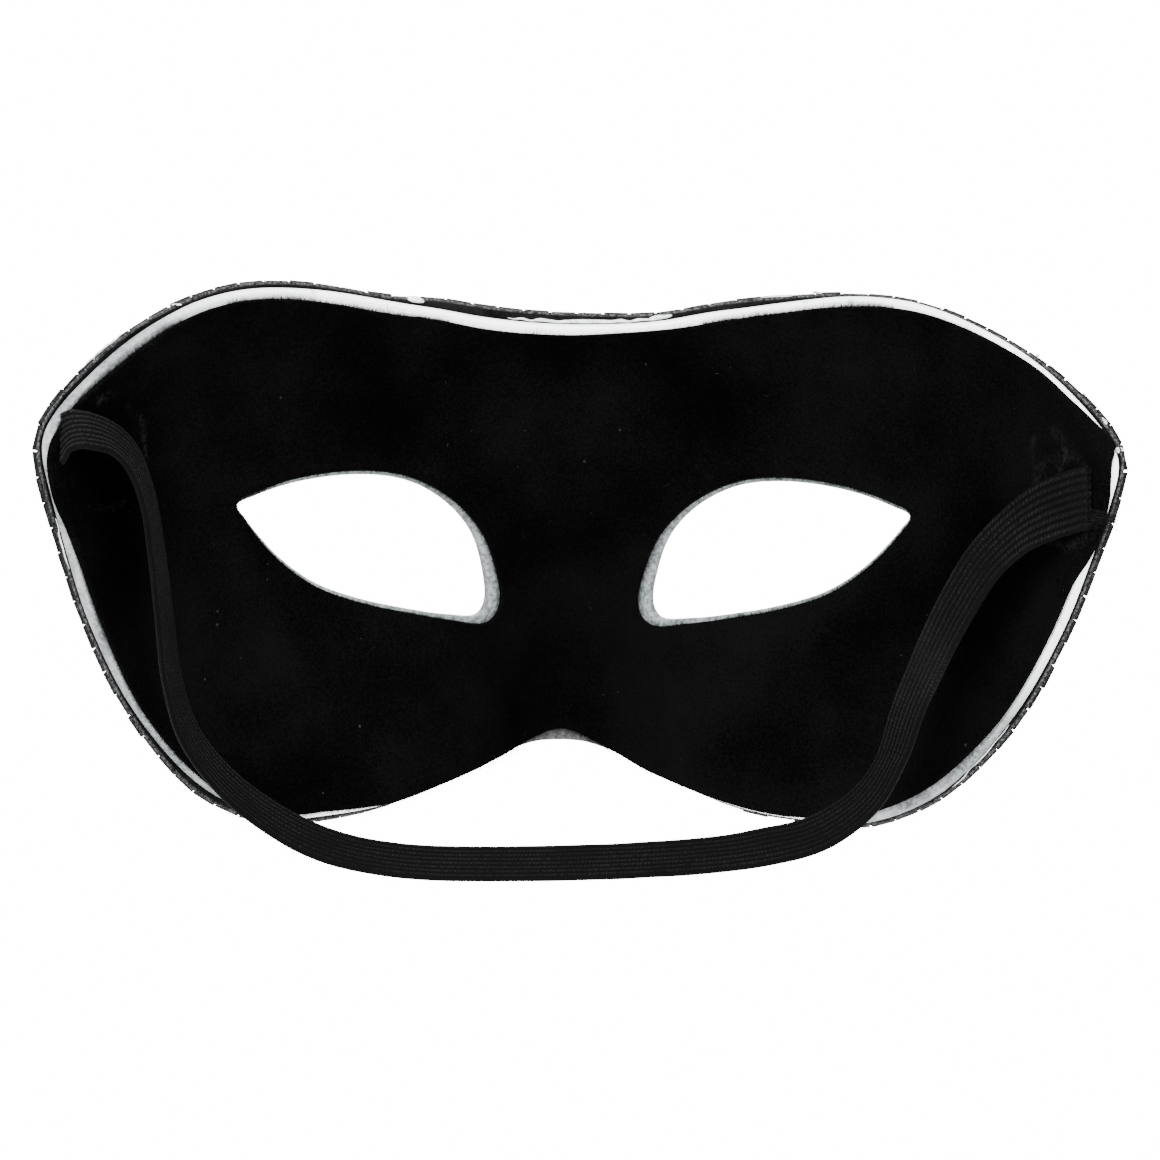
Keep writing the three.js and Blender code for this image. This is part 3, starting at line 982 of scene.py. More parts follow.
@dataclass
class Finish:
    """A material with a Principled shader, and the coordinates that its effects read."""

    name: str
    roughness: float = 0.5
    specular: float = 0.5

    def build(self) -> "Finish":
        """Makes the material, sets the numbers that are the same all over, and paints it.

        Returns:
            The finish itself.
        """
        self.material = bpy.data.materials.new(self.name)
        self.material.use_nodes = True
        self.tree = self.material.node_tree
        self.shader = self.tree.nodes["Principled BSDF"]
        self.shader.inputs["Roughness"].default_value = self.roughness
        self.shader.inputs["Specular IOR Level"].default_value = self.specular
        self.paint(self.tree, self.object_place())
        return self

    def paint(self, tree: Tree, where: Socket) -> None:
        """Links the effects to the shader. A plain finish has none.

        Args:
            tree: The material's tree.
            where: The point on the object, in metres.
        """

    def mottled(
        self, where: Socket, first: Colour, second: Colour, patches: float, grain: float
    ) -> bpy.types.bpy_prop_collection:
        """Soft uneven patches between two colours.

        Args:
            where: The point on the object.
            first: One colour.
            second: The other colour.
            patches: The scale of the broad noise.
            grain: The scale of the fine noise.

        Returns:
            The group's outputs, Color and Height.
        """
        return place(
            self.tree, effects.mottle, Vector=where, First=first, Second=second, Scale=patches, Fine=grain
        )

    def object_place(self) -> Socket:
        """The point on the object, in metres."""
        return self.tree.nodes.new("ShaderNodeTexCoord").outputs["Object"]

    def uv_place(self) -> Socket:
        """The piece's own UV."""
        return self.tree.nodes.new("ShaderNodeTexCoord").outputs["UV"]

    def mark(self, name: str) -> Socket:
        """A number that is kept on the mesh."""
        node = self.tree.nodes.new("ShaderNodeAttribute")
        node.attribute_name = name
        return node.outputs["Fac"]

    def colour(self, value: object) -> None:
        """Sets or links the base colour."""
        connect(self.tree, value, self.shader.inputs["Base Color"])

    def relief(self, height: Socket, distance: float, strength: float = 1.0) -> None:
        """Puts a height into the shader's normal through a Bump node."""
        bump = self.tree.nodes.new("ShaderNodeBump")
        bump.inputs["Distance"].default_value = distance
        bump.inputs["Strength"].default_value = strength
        self.tree.links.new(height, bump.inputs["Height"])
        self.tree.links.new(bump.outputs[0], self.shader.inputs["Normal"])

    def wear(self, piece: Piece) -> None:
        """Gives the material to a piece."""
        piece.data.materials.clear()
        piece.data.materials.append(self.material)


@dataclass
class Velvet(Finish):
    """Black velvet: a dense nap that drinks the light, soft patches, a little lint, and a painted highlight
    ring along the edge of each pad's bump.
    """

    name: str = "black_velvet"
    roughness: float = 0.95
    specular: float = 0.0
    deep: Colour = (0.0003, 0.0003, 0.00033, 1)
    brushed: Colour = (0.0016, 0.0016, 0.0017, 1)
    # The colour of the painted highlight ring along the edge of each pad's bump.
    ring_highlight: Colour = (0.0038, 0.0038, 0.004, 1)
    lint: Colour = (0.008, 0.008, 0.0085, 1)
    rings: tuple[tuple[Vector, float], ...] = ()

    def paint(self, tree: Tree, where: Socket) -> None:
        """Links the effects to the shader."""
        nap = self.mottled(where, self.deep, self.brushed, 38.0, 2600.0)
        dust = place(tree, effects.specks, Vector=where, Scale=520.0, Size=0.10, Rarity=0.95)
        body = nap["Color"]
        # Painted highlight: a lighter broken ring along the edge of each pad's bump.
        for middle, radius in self.rings:
            ring = place(tree, effects.pad_edge_highlight, Vector=where, Middle=middle, Radius=radius, Width=0.0012)
            flecks = remap(tree, noise(tree, where, 1400.0, 3.0, 0.7), 0.40, 0.62)
            share = calculate(tree, "MULTIPLY", ring["Mask"], flecks)
            body = blend(tree, share, body, self.ring_highlight)
        self.colour(blend(tree, dust["Mask"], body, self.lint))
        self.shader.inputs["Sheen Weight"].default_value = 0.004
        self.shader.inputs["Sheen Roughness"].default_value = 0.35
        self.relief(nap["Height"], 0.0001, 0.3)


@dataclass
class MouldedShell(Finish):
    """White moulded sheet: cool white, slightly uneven, with grubby stains here and there, and painted shade:
    grey on the eye holes' cut edges and on the temples, darker under the nose arch.
    """

    name: str = "white_shell"
    roughness: float = 0.42
    specular: float = 0.12
    clean: Colour = (0.94, 0.95, 0.95, 1)
    cool: Colour = (0.86, 0.89, 0.89, 1)
    grubby: Colour = (0.26, 0.29, 0.30, 1)
    # The next four colours are painted shade: the first two grey the eye-hole edges and the temples, the last
    # two darken the nose arch.
    stain_and_shade: Colour = (0.05, 0.056, 0.058, 1)
    lighter_wall_shade: Colour = (0.16, 0.175, 0.18, 1)
    dark: Colour = (0.013, 0.013, 0.0132, 1)
    lighter_nose_shade: Colour = (0.05, 0.05, 0.051, 1)

    def paint(self, tree: Tree, where: Socket) -> None:
        """Links the effects to the shader."""
        body = self.mottled(where, self.cool, self.clean, 45.0, 700.0)
        stains = noise(tree, where, 240.0, 4.0, 0.7)
        stain_and_shade = remap(tree, stains, 0.60, 0.74, 0.0, 0.8)
        clean = blend(tree, stain_and_shade, body["Color"], self.grubby)
        # Painted shade: the eye-hole edges and the temples turn dark grey and the nose arch darker still,
        # both streaked by a noise.
        shade_streaks = remap(tree, noise(tree, where, 1300.0, 4.0, 0.75), 0.38, 0.62)
        wall_shade = blend(tree, shade_streaks, self.stain_and_shade, self.lighter_wall_shade)
        body = blend(tree, self.mark("wall_shade"), clean, wall_shade)
        nose_shades = blend(tree, shade_streaks, self.dark, self.lighter_nose_shade)
        self.colour(blend(tree, self.mark("nose_shade"), body, nose_shades))
        self.relief(noise(tree, where, 1500.0, 4.0, 0.6), 0.00008, 0.8)


@dataclass
class Tile(Finish):
    """Black glazed tile: smooth and deep, each a little different, with fine scratches."""

    name: str = "black_tile"
    roughness: float = 0.12
    specular: float = 0.55
    side_roughness: float = 0.35
    scratch_roughness: float = 0.1
    dark: Colour = (0.006, 0.006, 0.007, 1)
    light: Colour = (0.022, 0.022, 0.025, 1)
    chip: Colour = (0.16, 0.16, 0.165, 1)

    def paint(self, tree: Tree, where: Socket) -> None:
        """Links the effects to the shader."""
        base = blend(tree, self.mark("tone"), self.dark, self.light)
        flecks = noise(tree, where, 1900.0, 3.0, 0.75)
        chipped = calculate(tree, "MULTIPLY", remap(tree, flecks, 0.56, 0.70), self.mark("side"))
        self.colour(blend(tree, chipped, base, self.chip))
        scratches = place(tree, effects.fine_scratches, Vector=where, Scale=110.0)
        rough = calculate(tree, "MULTIPLY_ADD", self.mark("side"), self.side_roughness, self.roughness)
        rough = calculate(tree, "MULTIPLY_ADD", scratches["Mask"], self.scratch_roughness, rough)
        tree.links.new(rough, self.shader.inputs["Roughness"])
        self.relief(noise(tree, where, 350.0, 2.0), 0.00005, 0.35)


@dataclass
class TileSide(Finish):
    """The cut sides of the tiles: matt black with fine grey grit."""

    name: str = "tile_side"
    roughness: float = 0.8
    specular: float = 0.04
    dark: Colour = (0.0025, 0.0025, 0.0026, 1)
    grit: Colour = (0.06, 0.06, 0.062, 1)

    def paint(self, tree: Tree, where: Socket) -> None:
        """Links the effects to the shader."""
        flecks = noise(tree, where, 2600.0, 3.0, 0.8)
        patches = remap(tree, noise(tree, where, 260.0, 2.0), 0.42, 0.62, 0.15, 1.0)
        share = calculate(tree, "MULTIPLY", remap(tree, flecks, 0.50, 0.68), patches)
        self.colour(blend(tree, share, self.dark, self.grit))
        self.relief(flecks, 0.00006, 0.8)


@dataclass
class Backing(Finish):
    """The black sheet under the tiles: matt, with a rubbed grey cut edge; its near-black also stands in for
    the shade in the gap between the shell and the cover.
    """

    name: str = "black_backing"
    roughness: float = 0.85
    specular: float = 0.03
    # Painted shade, partly: these near-black colours are the sheet's own, kept this dark also for the shade
    # in the gap between the shell and the cover.
    dark: Colour = (0.0006, 0.0006, 0.0007, 1)
    rubbed: Colour = (0.005, 0.005, 0.0053, 1)
    grit: Colour = (0.06, 0.06, 0.062, 1)

    def paint(self, tree: Tree, where: Socket) -> None:
        """Links the effects to the shader."""
        body = self.mottled(where, self.dark, self.rubbed, 200.0, 2200.0)
        flecks = remap(tree, noise(tree, where, 2300.0, 3.0, 0.8), 0.40, 0.64)
        share = calculate(tree, "MULTIPLY", remap(tree, self.mark("edge"), 0.84, 0.94), flecks)
        self.colour(blend(tree, share, body["Color"], self.grit))
        self.relief(body["Height"], 0.0001, 0.7)


@dataclass
class Glue(Finish):
    """Dried clear glue: pale, cloudy and glossy."""

    name: str = "dried_glue"
    roughness: float = 0.28
    specular: float = 0.5
    milky: Colour = (0.62, 0.64, 0.63, 1)
    clear: Colour = (0.24, 0.25, 0.25, 1)

    def paint(self, tree: Tree, where: Socket) -> None:
        """Links the effects to the shader."""
        body = self.mottled(where, self.clear, self.milky, 500.0, 1800.0)
        self.colour(body["Color"])
        self.shader.inputs["Coat Weight"].default_value = 0.4
        self.relief(body["Height"], 0.00012, 0.5)


@dataclass
class Elastic(Finish):
    """Black braided elastic: matt ribs with a plaited thread, a painted highlight where the threads stand
    high, and deep grooves darkened with painted shade.
    """

    name: str = "braided_elastic"
    roughness: float = 0.72
    specular: float = 0.03
    rib: Colour = (0.0004, 0.0004, 0.00045, 1)
    # The next colour is a painted highlight where the plait's threads stand high, and the one after it
    # painted shade in the grooves.
    crown_highlight: Colour = (0.0056, 0.0056, 0.0057, 1)
    groove: Colour = (0.0001, 0.0001, 0.0001, 1)

    def paint(self, tree: Tree, where: Socket) -> None:
        """Links the effects to the shader."""
        tone = self.mottled(where, self.rib, self.crown_highlight, 120.0, 1500.0)
        plait = place(tree, effects.braid, UV=self.uv_place(), Rib=1.2, Pick=0.62)
        # Painted highlight: lighter where the plait stands high, in random patches.
        thread = blend(tree, remap(tree, plait["Height"], 0.38, 0.72), self.rib, tone["Color"])
        # Painted shade: the grooves between the ribs go near black.
        depth = remap(tree, self.mark("groove"), 0.06, 0.36)
        self.colour(blend(tree, depth, thread, self.groove))
        self.shader.inputs["Sheen Weight"].default_value = 0.01
        self.shader.inputs["Sheen Roughness"].default_value = 0.4
        self.relief(plait["Height"], 0.00009, 0.8)


@dataclass
class Fibre(Finish):
    """Loose thread, hair or lint, a shade lighter where single fibres catch the light."""

    name: str = "loose_thread"
    roughness: float = 0.85
    specular: float = 0.04
    dark: Colour = (0.0007, 0.0007, 0.00075, 1)
    light: Colour = (0.0045, 0.0045, 0.0047, 1)
    patches: float = 300.0
    grain: float = 3000.0

    def paint(self, tree: Tree, where: Socket) -> None:
        """Links the effects to the shader."""
        self.colour(self.mottled(where, self.dark, self.light, self.patches, self.grain)["Color"])


@dataclass
class PaleFloor(Finish):
    """The studio's floor: matt and pale, a little uneven."""

    name: str = "pale_floor"
    roughness: float = 0.9
    specular: float = 0.1
    dark: Colour = (0.86, 0.86, 0.86, 1)
    light: Colour = (0.9, 0.9, 0.9, 1)

    def paint(self, tree: Tree, where: Socket) -> None:
        """Links the effects to the shader."""
        self.colour(blend(tree, noise(tree, where, 30.0), self.dark, self.light))


# Sub-assemblies


@dataclass
class Shell:
    """The white moulded shell, whose cut edges show as a pale band round the velvet."""

    outline: Outline
    wall: float = 1.8
    corner: float = 0.35
    unevenness: float = 0.05
    wall_shade_below: tuple[float, float] = (44.0, -12.0)
    wall_shade_over: tuple[float, float] = (8.0, 14.0)
    temple_from: float = 40.0
    nose_shade_half_width: float = 26.0
    nose_shade_below: float = -20.0
    ramp: float = 8.0

    def build(self) -> list[Piece]:
        """Builds the shell as one closed skin with rounded edges."""
        section = LayerSection(0.0, self.wall, 0.0, 0.0, self.corner, Cut.SHELL)
        points, faces, marks = layer_mesh(self.outline, section, self.uneven)
        # These marks say where shade is painted into the sheet's colour.
        shades = {"wall_shade": self.wall_shade_amount(points, marks[:, 1]), "nose_shade": self.nose_shade(points)}
        self.piece = new_object("moulded_shell", points, [faces], marks=shades)
        return [self.piece]

    def uneven(self, spots: Spots) -> Array:
        """Small hills of a vacuum-formed sheet."""
        return self.unevenness * smooth_noise(spots.along, spots.height, 7.0, 11)

    def wall_shade_amount(self, points: Array, to_eye: Array) -> Array:
        """How much painted shade the sheet takes: full near the eye holes, much at the temples, none at the
        brow.
        """
        x, z = np.abs(points[:, 0]), points[:, 2]
        left, right = ((top - z) / over for top, over in zip(self.wall_shade_below, self.wall_shade_over))
        reach = np.where(points[:, 0] > 0, left, right)
        temples = np.clip(reach, 0, 1) * np.clip((x - self.temple_from) / self.ramp, 0, 1)
        temples = temples * (0.92 + 0.1 * smooth_noise(points[:, 1] + z, x, 3.0, 12))
        return np.maximum(temples, np.clip(2.2 - to_eye / 2.0, 0, 1))

    def nose_shade(self, points: Array) -> Array:
        """How much painted shade the sheet takes: full at the nose arch, whose edge faces down."""
        x, z = np.abs(points[:, 0]), points[:, 2]
        sideways = np.clip((self.nose_shade_half_width - x) / self.ramp, 0, 1)
        return sideways * np.clip((self.nose_shade_below - z) / 4, 0, 1)

    def dress(self) -> None:
        """Gives the shell its finish and its place on the part."""
        MouldedShell().build().wear(self.piece)
        settle(self.piece, Slot.SHELL, "shell")


@dataclass(frozen=True)
class Pad:
    """A round pad under the velvet: where its middle is, its radius and its rise."""

    out: float
    up: float
    radius: float
    rise: float


@dataclass
class Lining:
    """The velvet on the wearer's side, its fuzzy cut edge and the lint on it."""

    outline: Outline
    back: float = -1.3
    front: float = -0.3
    rim_setback: float = 0.9
    eye_setback: float = 0.75
    corner: float = 0.42
    turn_over: float = 0.7
    turn_depth: float = 1.3
    pads: tuple[Pad, ...] = (
        Pad(0.865, 0.36, 9.0, 0.5),
        Pad(-0.862, 0.42, 3.8, 0.4),
        Pad(-0.905, 0.24, 7.5, 0.45),
    )
    hairs: int = 19000
    fuzzy_rows: tuple[tuple[float, float], ...] = ((1.6, 4.2), (4.7, 6.4), (9.6, 12.6), (34.3, 36.4))
    fuzzy_share: float = 0.5
    lint_fibres: int = 60

    def lift(self, along: Array, height: Array) -> Array:
        """How far the velvet rises: soft hills, and over each pad a smooth step at its radius."""
        lift = 0.09 * smooth_noise(along, height, 9.0, 21) + 0.03 * smooth_noise(along, height, 2.2, 22)
        for pad in self.pads:
            slope = np.clip((1.06 - self.reach(pad, along, height)) / 0.3, 0, 1)
            lift = lift + pad.rise * ease(slope)
        return lift

    def reach(self, pad: Pad, along: Array, height: Array) -> Array:
        """Distances from a pad's middle as shares of its radius, a little uneven."""
        face = self.outline.face
        middle = np.array([pad.out * face.half_spread, face.height_of(np.array(pad.up))])
        uneven = 1 + 0.07 * smooth_noise(along, height, 4.0, 24)
        return np.hypot(along - middle[0], height - middle[1]) / pad.radius * uneven

    def relief(self, spots: Spots) -> Array:
        """Moves depths: the wearer's side by the lift, and all that is past the shell's edge over it.

        Past the shell's edge the velvet turns over it by a smooth step of the distance.
        """
        share = np.clip((self.front - spots.depth) / (self.front - self.back), 0, 1)
        rows, side = spots.rows, spots.side
        bare = self.outline.rim.at(rows.ravel())[:, 2].reshape(rows.shape)
        own = self.outline.stands_out(Cut.LINING, rows, side) - self.rim_setback * bare
        edge = self.outline.stands_out(Cut.SHELL, rows, side)
        turned = self.turned_depth(own - edge - spots.to_rim)
        return turned - share * self.lift(spots.along, spots.height)

    def turned_depth(self, past: Array) -> Array:
        """How deep the velvet lies where it is some way past the shell's edge."""
        return self.turn_depth * ease(np.clip(past / self.turn_over, 0, 1))

    def ring_places(self) -> tuple[tuple[Vector, float], ...]:
        """The middle and the radius in metres of the painted highlight ring along the edge of each pad's
        bump.
        """
        face = self.outline.face
        along = np.array([pad.out for pad in self.pads]) * face.half_spread
        height = face.height_of(np.array([pad.up for pad in self.pads]))
        middles = face.layer(along, height, np.full(len(along), self.back)) * MM
        return tuple((Vector(middle), pad.radius * MM) for middle, pad in zip(middles, self.pads))

    def build(self) -> list[Piece]:
        """Builds the velvet, the hairs along its edges and the lint."""
        section = LayerSection(
            self.back, self.front, self.rim_setback, self.eye_setback, self.corner, Cut.LINING, rings=40
        )
        points, faces, _ = layer_mesh(self.outline, section, self.relief)
        self.velvet = new_object("velvet_lining", points, [faces])
        self.fringes = [self.edge_hairs("rim_hairs", True, 5), self.edge_hairs("eye_hole_hairs", False, 6)]
        self.lint = self.loose_lint()
        return [self.velvet, *self.fringes, self.lint]

    def edge_hairs(self, name: str, on_rim: bool, seed: int) -> Piece:
        """Short hairs of the nap that stand out over the velvet's cut edge.

        Args:
            name: The object's name.
            on_rim: Whether they stand along the rim, or round both holes.
            seed: The seed of their places and shapes.

        Returns:
            The mesh object.
        """
        rng = np.random.default_rng(seed)
        outline, face, count = self.outline, self.outline.face, self.hairs
        curve = outline.rim if on_rim else outline.eye
        rows = rng.uniform(0, curve.count, count)
        inset = rng.uniform(0.0, 0.35, count)
        longer = np.full(count, 1.0 if on_rim else 0.45)
        if on_rim:
            spans = np.array(self.fuzzy_rows)[rng.integers(0, len(self.fuzzy_rows), count)]
            fuzzy = rng.uniform(0, 1, count) < self.fuzzy_share
            rows = np.where(fuzzy, rng.uniform(spans[:, 0], spans[:, 1]), rows)
            longer = np.where(fuzzy, 1.5, 1.0)
        side = np.ones(count) if on_rim else np.where(rng.uniform(0, 1, count) < 0.5, -1.0, 1.0)
        depth = rng.uniform(self.back + 0.02, self.front - 0.35, count)
        if on_rim:
            stands = outline.stands_out(Cut.LINING, rows)
            places = outline.edge(curve, rows, self.rim_setback, stands - inset)
            own = stands - self.rim_setback * curve.at(rows)[:, 2]
            depth = depth + self.turned_depth(own - outline.stands_out(Cut.SHELL, rows) - inset)
        else:
            places = outline.edge(curve, rows, -self.eye_setback, inset)
        step = 0.5
        over = -step if on_rim else step
        out = unit(outline.edge(curve, rows, over) - outline.edge(curve, rows, 0.0)) * step
        along, height = places[:, 0] * side, places[:, 1]
        roots = face.layer(along, height, depth)
        ahead = face.layer(along + out[:, 0] * side, height + out[:, 1], depth)
        normal = face.normal(along, height)
        ways = unit(unit(ahead - roots) + rng.normal(0, 0.45, (count, 3)) - 0.25 * normal)
        bends = rng.normal(0, 0.35, (count, 3))
        tufts = np.clip(0.8 + 0.9 * smooth_noise(along, height, 6.0, 23), 0.25, 1.7)
        grown = rng.uniform(0.1, 1.0, count)
        fuzz = 0.3 + 0.7 * grown * np.clip(tufts, 0.6, 1)
        lengths = inset + np.where(longer > 1, fuzz, grown**1.6 * tufts * longer)
        widths = rng.uniform(0.016, 0.034, count)
        points, face_sets = fibre_mesh(roots, ways, bends, lengths, widths)
        return new_object(name, points, face_sets)

    def loose_lint(self) -> Piece:
        """A few pale fibres that lie on the nap."""
        rng = np.random.default_rng(9)
        outline, face = self.outline, self.outline.face
        spokes = outline.spokes
        pick = rng.integers(0, len(spokes["rim"]), self.lint_fibres)
        t = rng.uniform(0.1, 0.93, self.lint_fibres)[:, None]
        places = outline.inner_ends(1.0)[pick] * (1 - t) + outline.outer_ends(2.0)[pick] * t
        along = places[:, 0] * np.where(rng.uniform(0, 1, self.lint_fibres) < 0.5, -1.0, 1.0)
        height = places[:, 1]
        depth = self.back - 0.03 - self.lift(along, height)
        roots = face.layer(along, height, depth)
        turn = rng.uniform(0, 2 * math.pi, self.lint_fibres)
        ahead = face.layer(along + np.cos(turn), height + np.sin(turn), depth)
        ways = unit(unit(ahead - roots) - 0.15 * face.normal(along, height))
        bends = rng.normal(0, 0.25, (self.lint_fibres, 3))
        lengths = rng.uniform(0.2, 0.9, self.lint_fibres)
        widths = rng.uniform(0.010, 0.022, self.lint_fibres)
        points, face_sets = fibre_mesh(roots, ways, bends, lengths, widths)
        return new_object("lining_lint", points, face_sets)

    def dress(self) -> None:
        """Gives the velvet, its hairs and the lint their finishes and places."""
        Velvet(rings=self.ring_places()).build().wear(self.velvet)
        hair = Fibre("velvet_hair", dark=(0.0006, 0.0006, 0.0006, 1), light=(0.004, 0.004, 0.004, 1)).build()
        grey, pale = (0.006, 0.006, 0.0065, 1), (0.03, 0.03, 0.032, 1)
        Fibre("pale_lint", 0.9, 0.2, grey, pale, patches=160.0, grain=900.0).build().wear(self.lint)
        settle(self.velvet, Slot.LINING, "lining")
        settle(self.lint, Slot.LINING)
        for fringe in self.fringes:
            hair.wear(fringe)
            settle(fringe, Slot.LINING)


@dataclass(frozen=True)
class GlueBead:
    """A bead of glue along the rim: its rows, how far it stands out, its depths and radius."""

    row_from: float
    row_to: float
    out: float
    depth_from: float
    depth_to: float
    radius: float


@dataclass
class FrontCover:
    """The front: a black backing sheet, a bed of glue and small black tiles on it.

    A course of tiles follows the rim and one each eye hole, and a square field fills the rest.
    """

    outline: Outline
    back: float = 2.1
    sheet: float = 0.4
    bed: float = 0.3
    front: float = 3.5
    overhang: float = 0.3
    eye_setback: float = 1.5
    tile: float = 4.0
    joint: float = 0.3
    bevel: float = 0.16
    smallest: float = 1.6
    glue_spots: tuple[GlueBead, ...] = tuple(GlueBead(*row) for row in (
        (-1.15, 0.85, 0.25, 1.95, 1.95, 0.34), (-1.2, -0.9, 0.45, 1.9, 2.1, 0.45),
        (1.9, 2.1, 0.55, 2.0, 2.4, 0.5), (4.62, 4.7, 0.55, 1.6, 3.4, 0.3),
        (5.3, 5.9, 0.55, 2.9, 3.1, 0.16), (9.5, 10.3, 0.12, 1.85, 1.85, 0.13),
        (25.2, 26.0, 0.05, 1.85, 1.85, 0.14), (30.80, 30.92, 0.15, 1.6, 3.2, 0.42),
        (30.9, 30.98, 0.1, 1.6, 3.1, 0.4), (31.42, 31.55, 0.5, 2.3, 2.7, 0.35),
        (32.6, 32.66, 0.4, 2.2, 3.0, 0.25), (35.25, 35.35, 0.5, 2.2, 3.3, 0.2),
        (35.5, 35.8, 0.7, 2.2, 3.0, 0.35),
    ))

    def build(self) -> list[Piece]:
        """Builds the backing, the glue bed, the tiles and the squeezed-out glue."""
        bed_back = self.back + self.sheet
        sheet = LayerSection(self.back, bed_back - 0.01, -0.36, self.eye_setback + 0.1, 0.12, Cut.COVER)
        points, faces, marks = layer_mesh(self.outline, sheet)
        self.sheet_piece = new_object("cover_backing", points, [faces], marks={"edge": marks[:, 0]})
        bed = LayerSection(bed_back, bed_back + self.bed, 0.35, self.eye_setback + 0.45, 0.1, Cut.COVER)
        points, faces, _ = layer_mesh(self.outline, bed)
        self.bed_piece = new_object("glue_bed", points, [faces])
        self.tiles = self.tile_field(self.rim_course() + self.eye_courses() + self.square_field())
        self.beads = self.glue_beads()
        return [self.sheet_piece, self.bed_piece, self.tiles, self.beads]

    def course(
        self, curve: RowCurve, edge_inset: float, inward: float, seed: int, cut: Cut | None = None
    ) -> list[Array]:
        """Tiles along a closed curve, at equal lengths of its arc.

        Args:
            curve: The rim or the eye hole.
            edge_inset: The inset of the tiles' outer edge.
            inward: 1 where the tiles lie to the right of the curve's way, -1 to its left.
            seed: The seed of the small differences.
            cut: The layer whose cut edge the tiles follow.

        Returns:
            The corners of each tile, as distances along the face and heights.
        """
        rng = np.random.default_rng(seed)
        rows = np.linspace(0, curve.count, 3601)
        flat = curve.at(rows)[:, :2]
        length = np.concatenate([[0], np.cumsum(np.linalg.norm(np.diff(flat, axis=0), axis=1))])
        count = round(length[-1] / (self.tile + self.joint))
        pitch = length[-1] / count
        starts = np.arange(count) * pitch + rng.normal(0, 0.06, count)
        ends = starts + pitch - self.joint
        inset = edge_inset + rng.normal(0, 0.07, count)

        def at(places: Array, setback: Array) -> Array:
            """Points beside the curve.

        Args:
            places: Lengths of the curve's arc.
            setback: How far beside the curve they lie.

        Returns:
            One point a row.
        """
            row = np.interp(places, length, rows)
            points = curve.at(row)[:, :2]
            way = unit((curve.at(row + 0.05) - curve.at(row - 0.05))[:, :2])
            right = np.stack([way[:, 1], -way[:, 0]], axis=-1)
            wider = edge_inset * (curve.at(row)[:, 2] - 1) if cut is None else 0.0
            return points + right * ((setback + wider) * inward - self.outline.stands_out(cut, row))[:, None]

        depth = inset + self.tile
        corners = np.stack([at(starts, inset), at(ends, inset), at(ends, depth), at(starts, depth)], axis=1)
        return list(corners)

    def rim_course(self) -> list[Array]:
        """The tiles along the rim."""
        return self.course(self.outline.rim, -self.overhang, 1.0, 31, Cut.COVER)

    def eye_courses(self) -> list[Array]:
        """The tiles round both eye holes."""
        left = self.clear_of_hole(self.course(self.outline.eye, self.eye_setback, -1.0, 32))
        right = self.clear_of_hole(self.course(self.outline.eye, self.eye_setback, -1.0, 33))
        return left + [corners[::-1] * np.array([-1, 1]) for corners in right]

    def clear_of_hole(self, tiles: list[Array]) -> list[Array]:
        """Moves tiles that a corner of the hole would show away from it by what they lack."""
        corners = np.stack(tiles)
        shares = np.linspace(0, 1, 5)[:, None]
        fronts = corners[:, None, 0] * (1 - shares) + corners[:, None, 1] * shares
        gaps = -self.signed_distance(fronts.reshape(-1, 2), self.hole_line).reshape(len(tiles), 5).min(axis=1)
        lacking = np.clip(-gaps, 0, None)[:, None, None]
        away = unit(corners[:, 3] - corners[:, 0])[:, None]
        corners = corners + away * lacking
        outer = corners[:, 2:]
        middle = outer.mean(axis=1, keepdims=True)
        spread = np.linalg.norm(outer[:, 0] - outer[:, 1], axis=-1)[:, None, None]
        corners[:, 2:] = middle + (outer - middle) * np.minimum(1.0, 1.15 * self.tile / spread)
        return list(corners)

    @cached_property
    def hole_line(self) -> Array:
        """Where the tiles round the left eye hole begin."""
        rows = np.linspace(0, self.outline.eye.count, 400, endpoint=False)
        return self.outline.edge(self.outline.eye, rows, -self.eye_setback)

    def room(self, places: Array) -> Array:
        """How far places lie inside the square field, negative outside it.

        It is the distance to the rim less one course, or that to the nearer hole less one
        course, whichever is smaller. A place is inside a closed line if the line's winding
        angle round it isn't zero.

        Args:
            places: Distances along the face and heights.

        Returns:
            Distances in millimetres.
        """
        rows = np.linspace(0, self.outline.rim.count, 700, endpoint=False)
        rim = self.outline.edge(self.outline.rim, rows, 0.0, self.outline.stands_out(Cut.COVER, rows))
        course = self.tile + self.joint
        mirrored = np.stack([np.abs(places[:, 0]), places[:, 1]], axis=-1)
        to_rim = self.signed_distance(places, rim) - (course - self.overhang)
        to_eye = -self.signed_distance(mirrored, self.hole_line) - course
        return np.minimum(to_rim, to_eye)

    @staticmethod
    def signed_distance(places: Array, line: Array) -> Array:
        """Distances from places to a closed line, positive inside it."""
        offsets = line[None] - places[:, None]
        nearest = np.linalg.norm(offsets, axis=-1).min(axis=1)
        angle = np.arctan2(offsets[..., 1], offsets[..., 0])
        turned = np.diff(np.concatenate([angle, angle[:, :1]], axis=1), axis=1)
        turned = (turned + math.pi) % (2 * math.pi) - math.pi
        inside = np.abs(turned.sum(axis=1)) > math.pi
        return np.where(inside, nearest, -nearest)

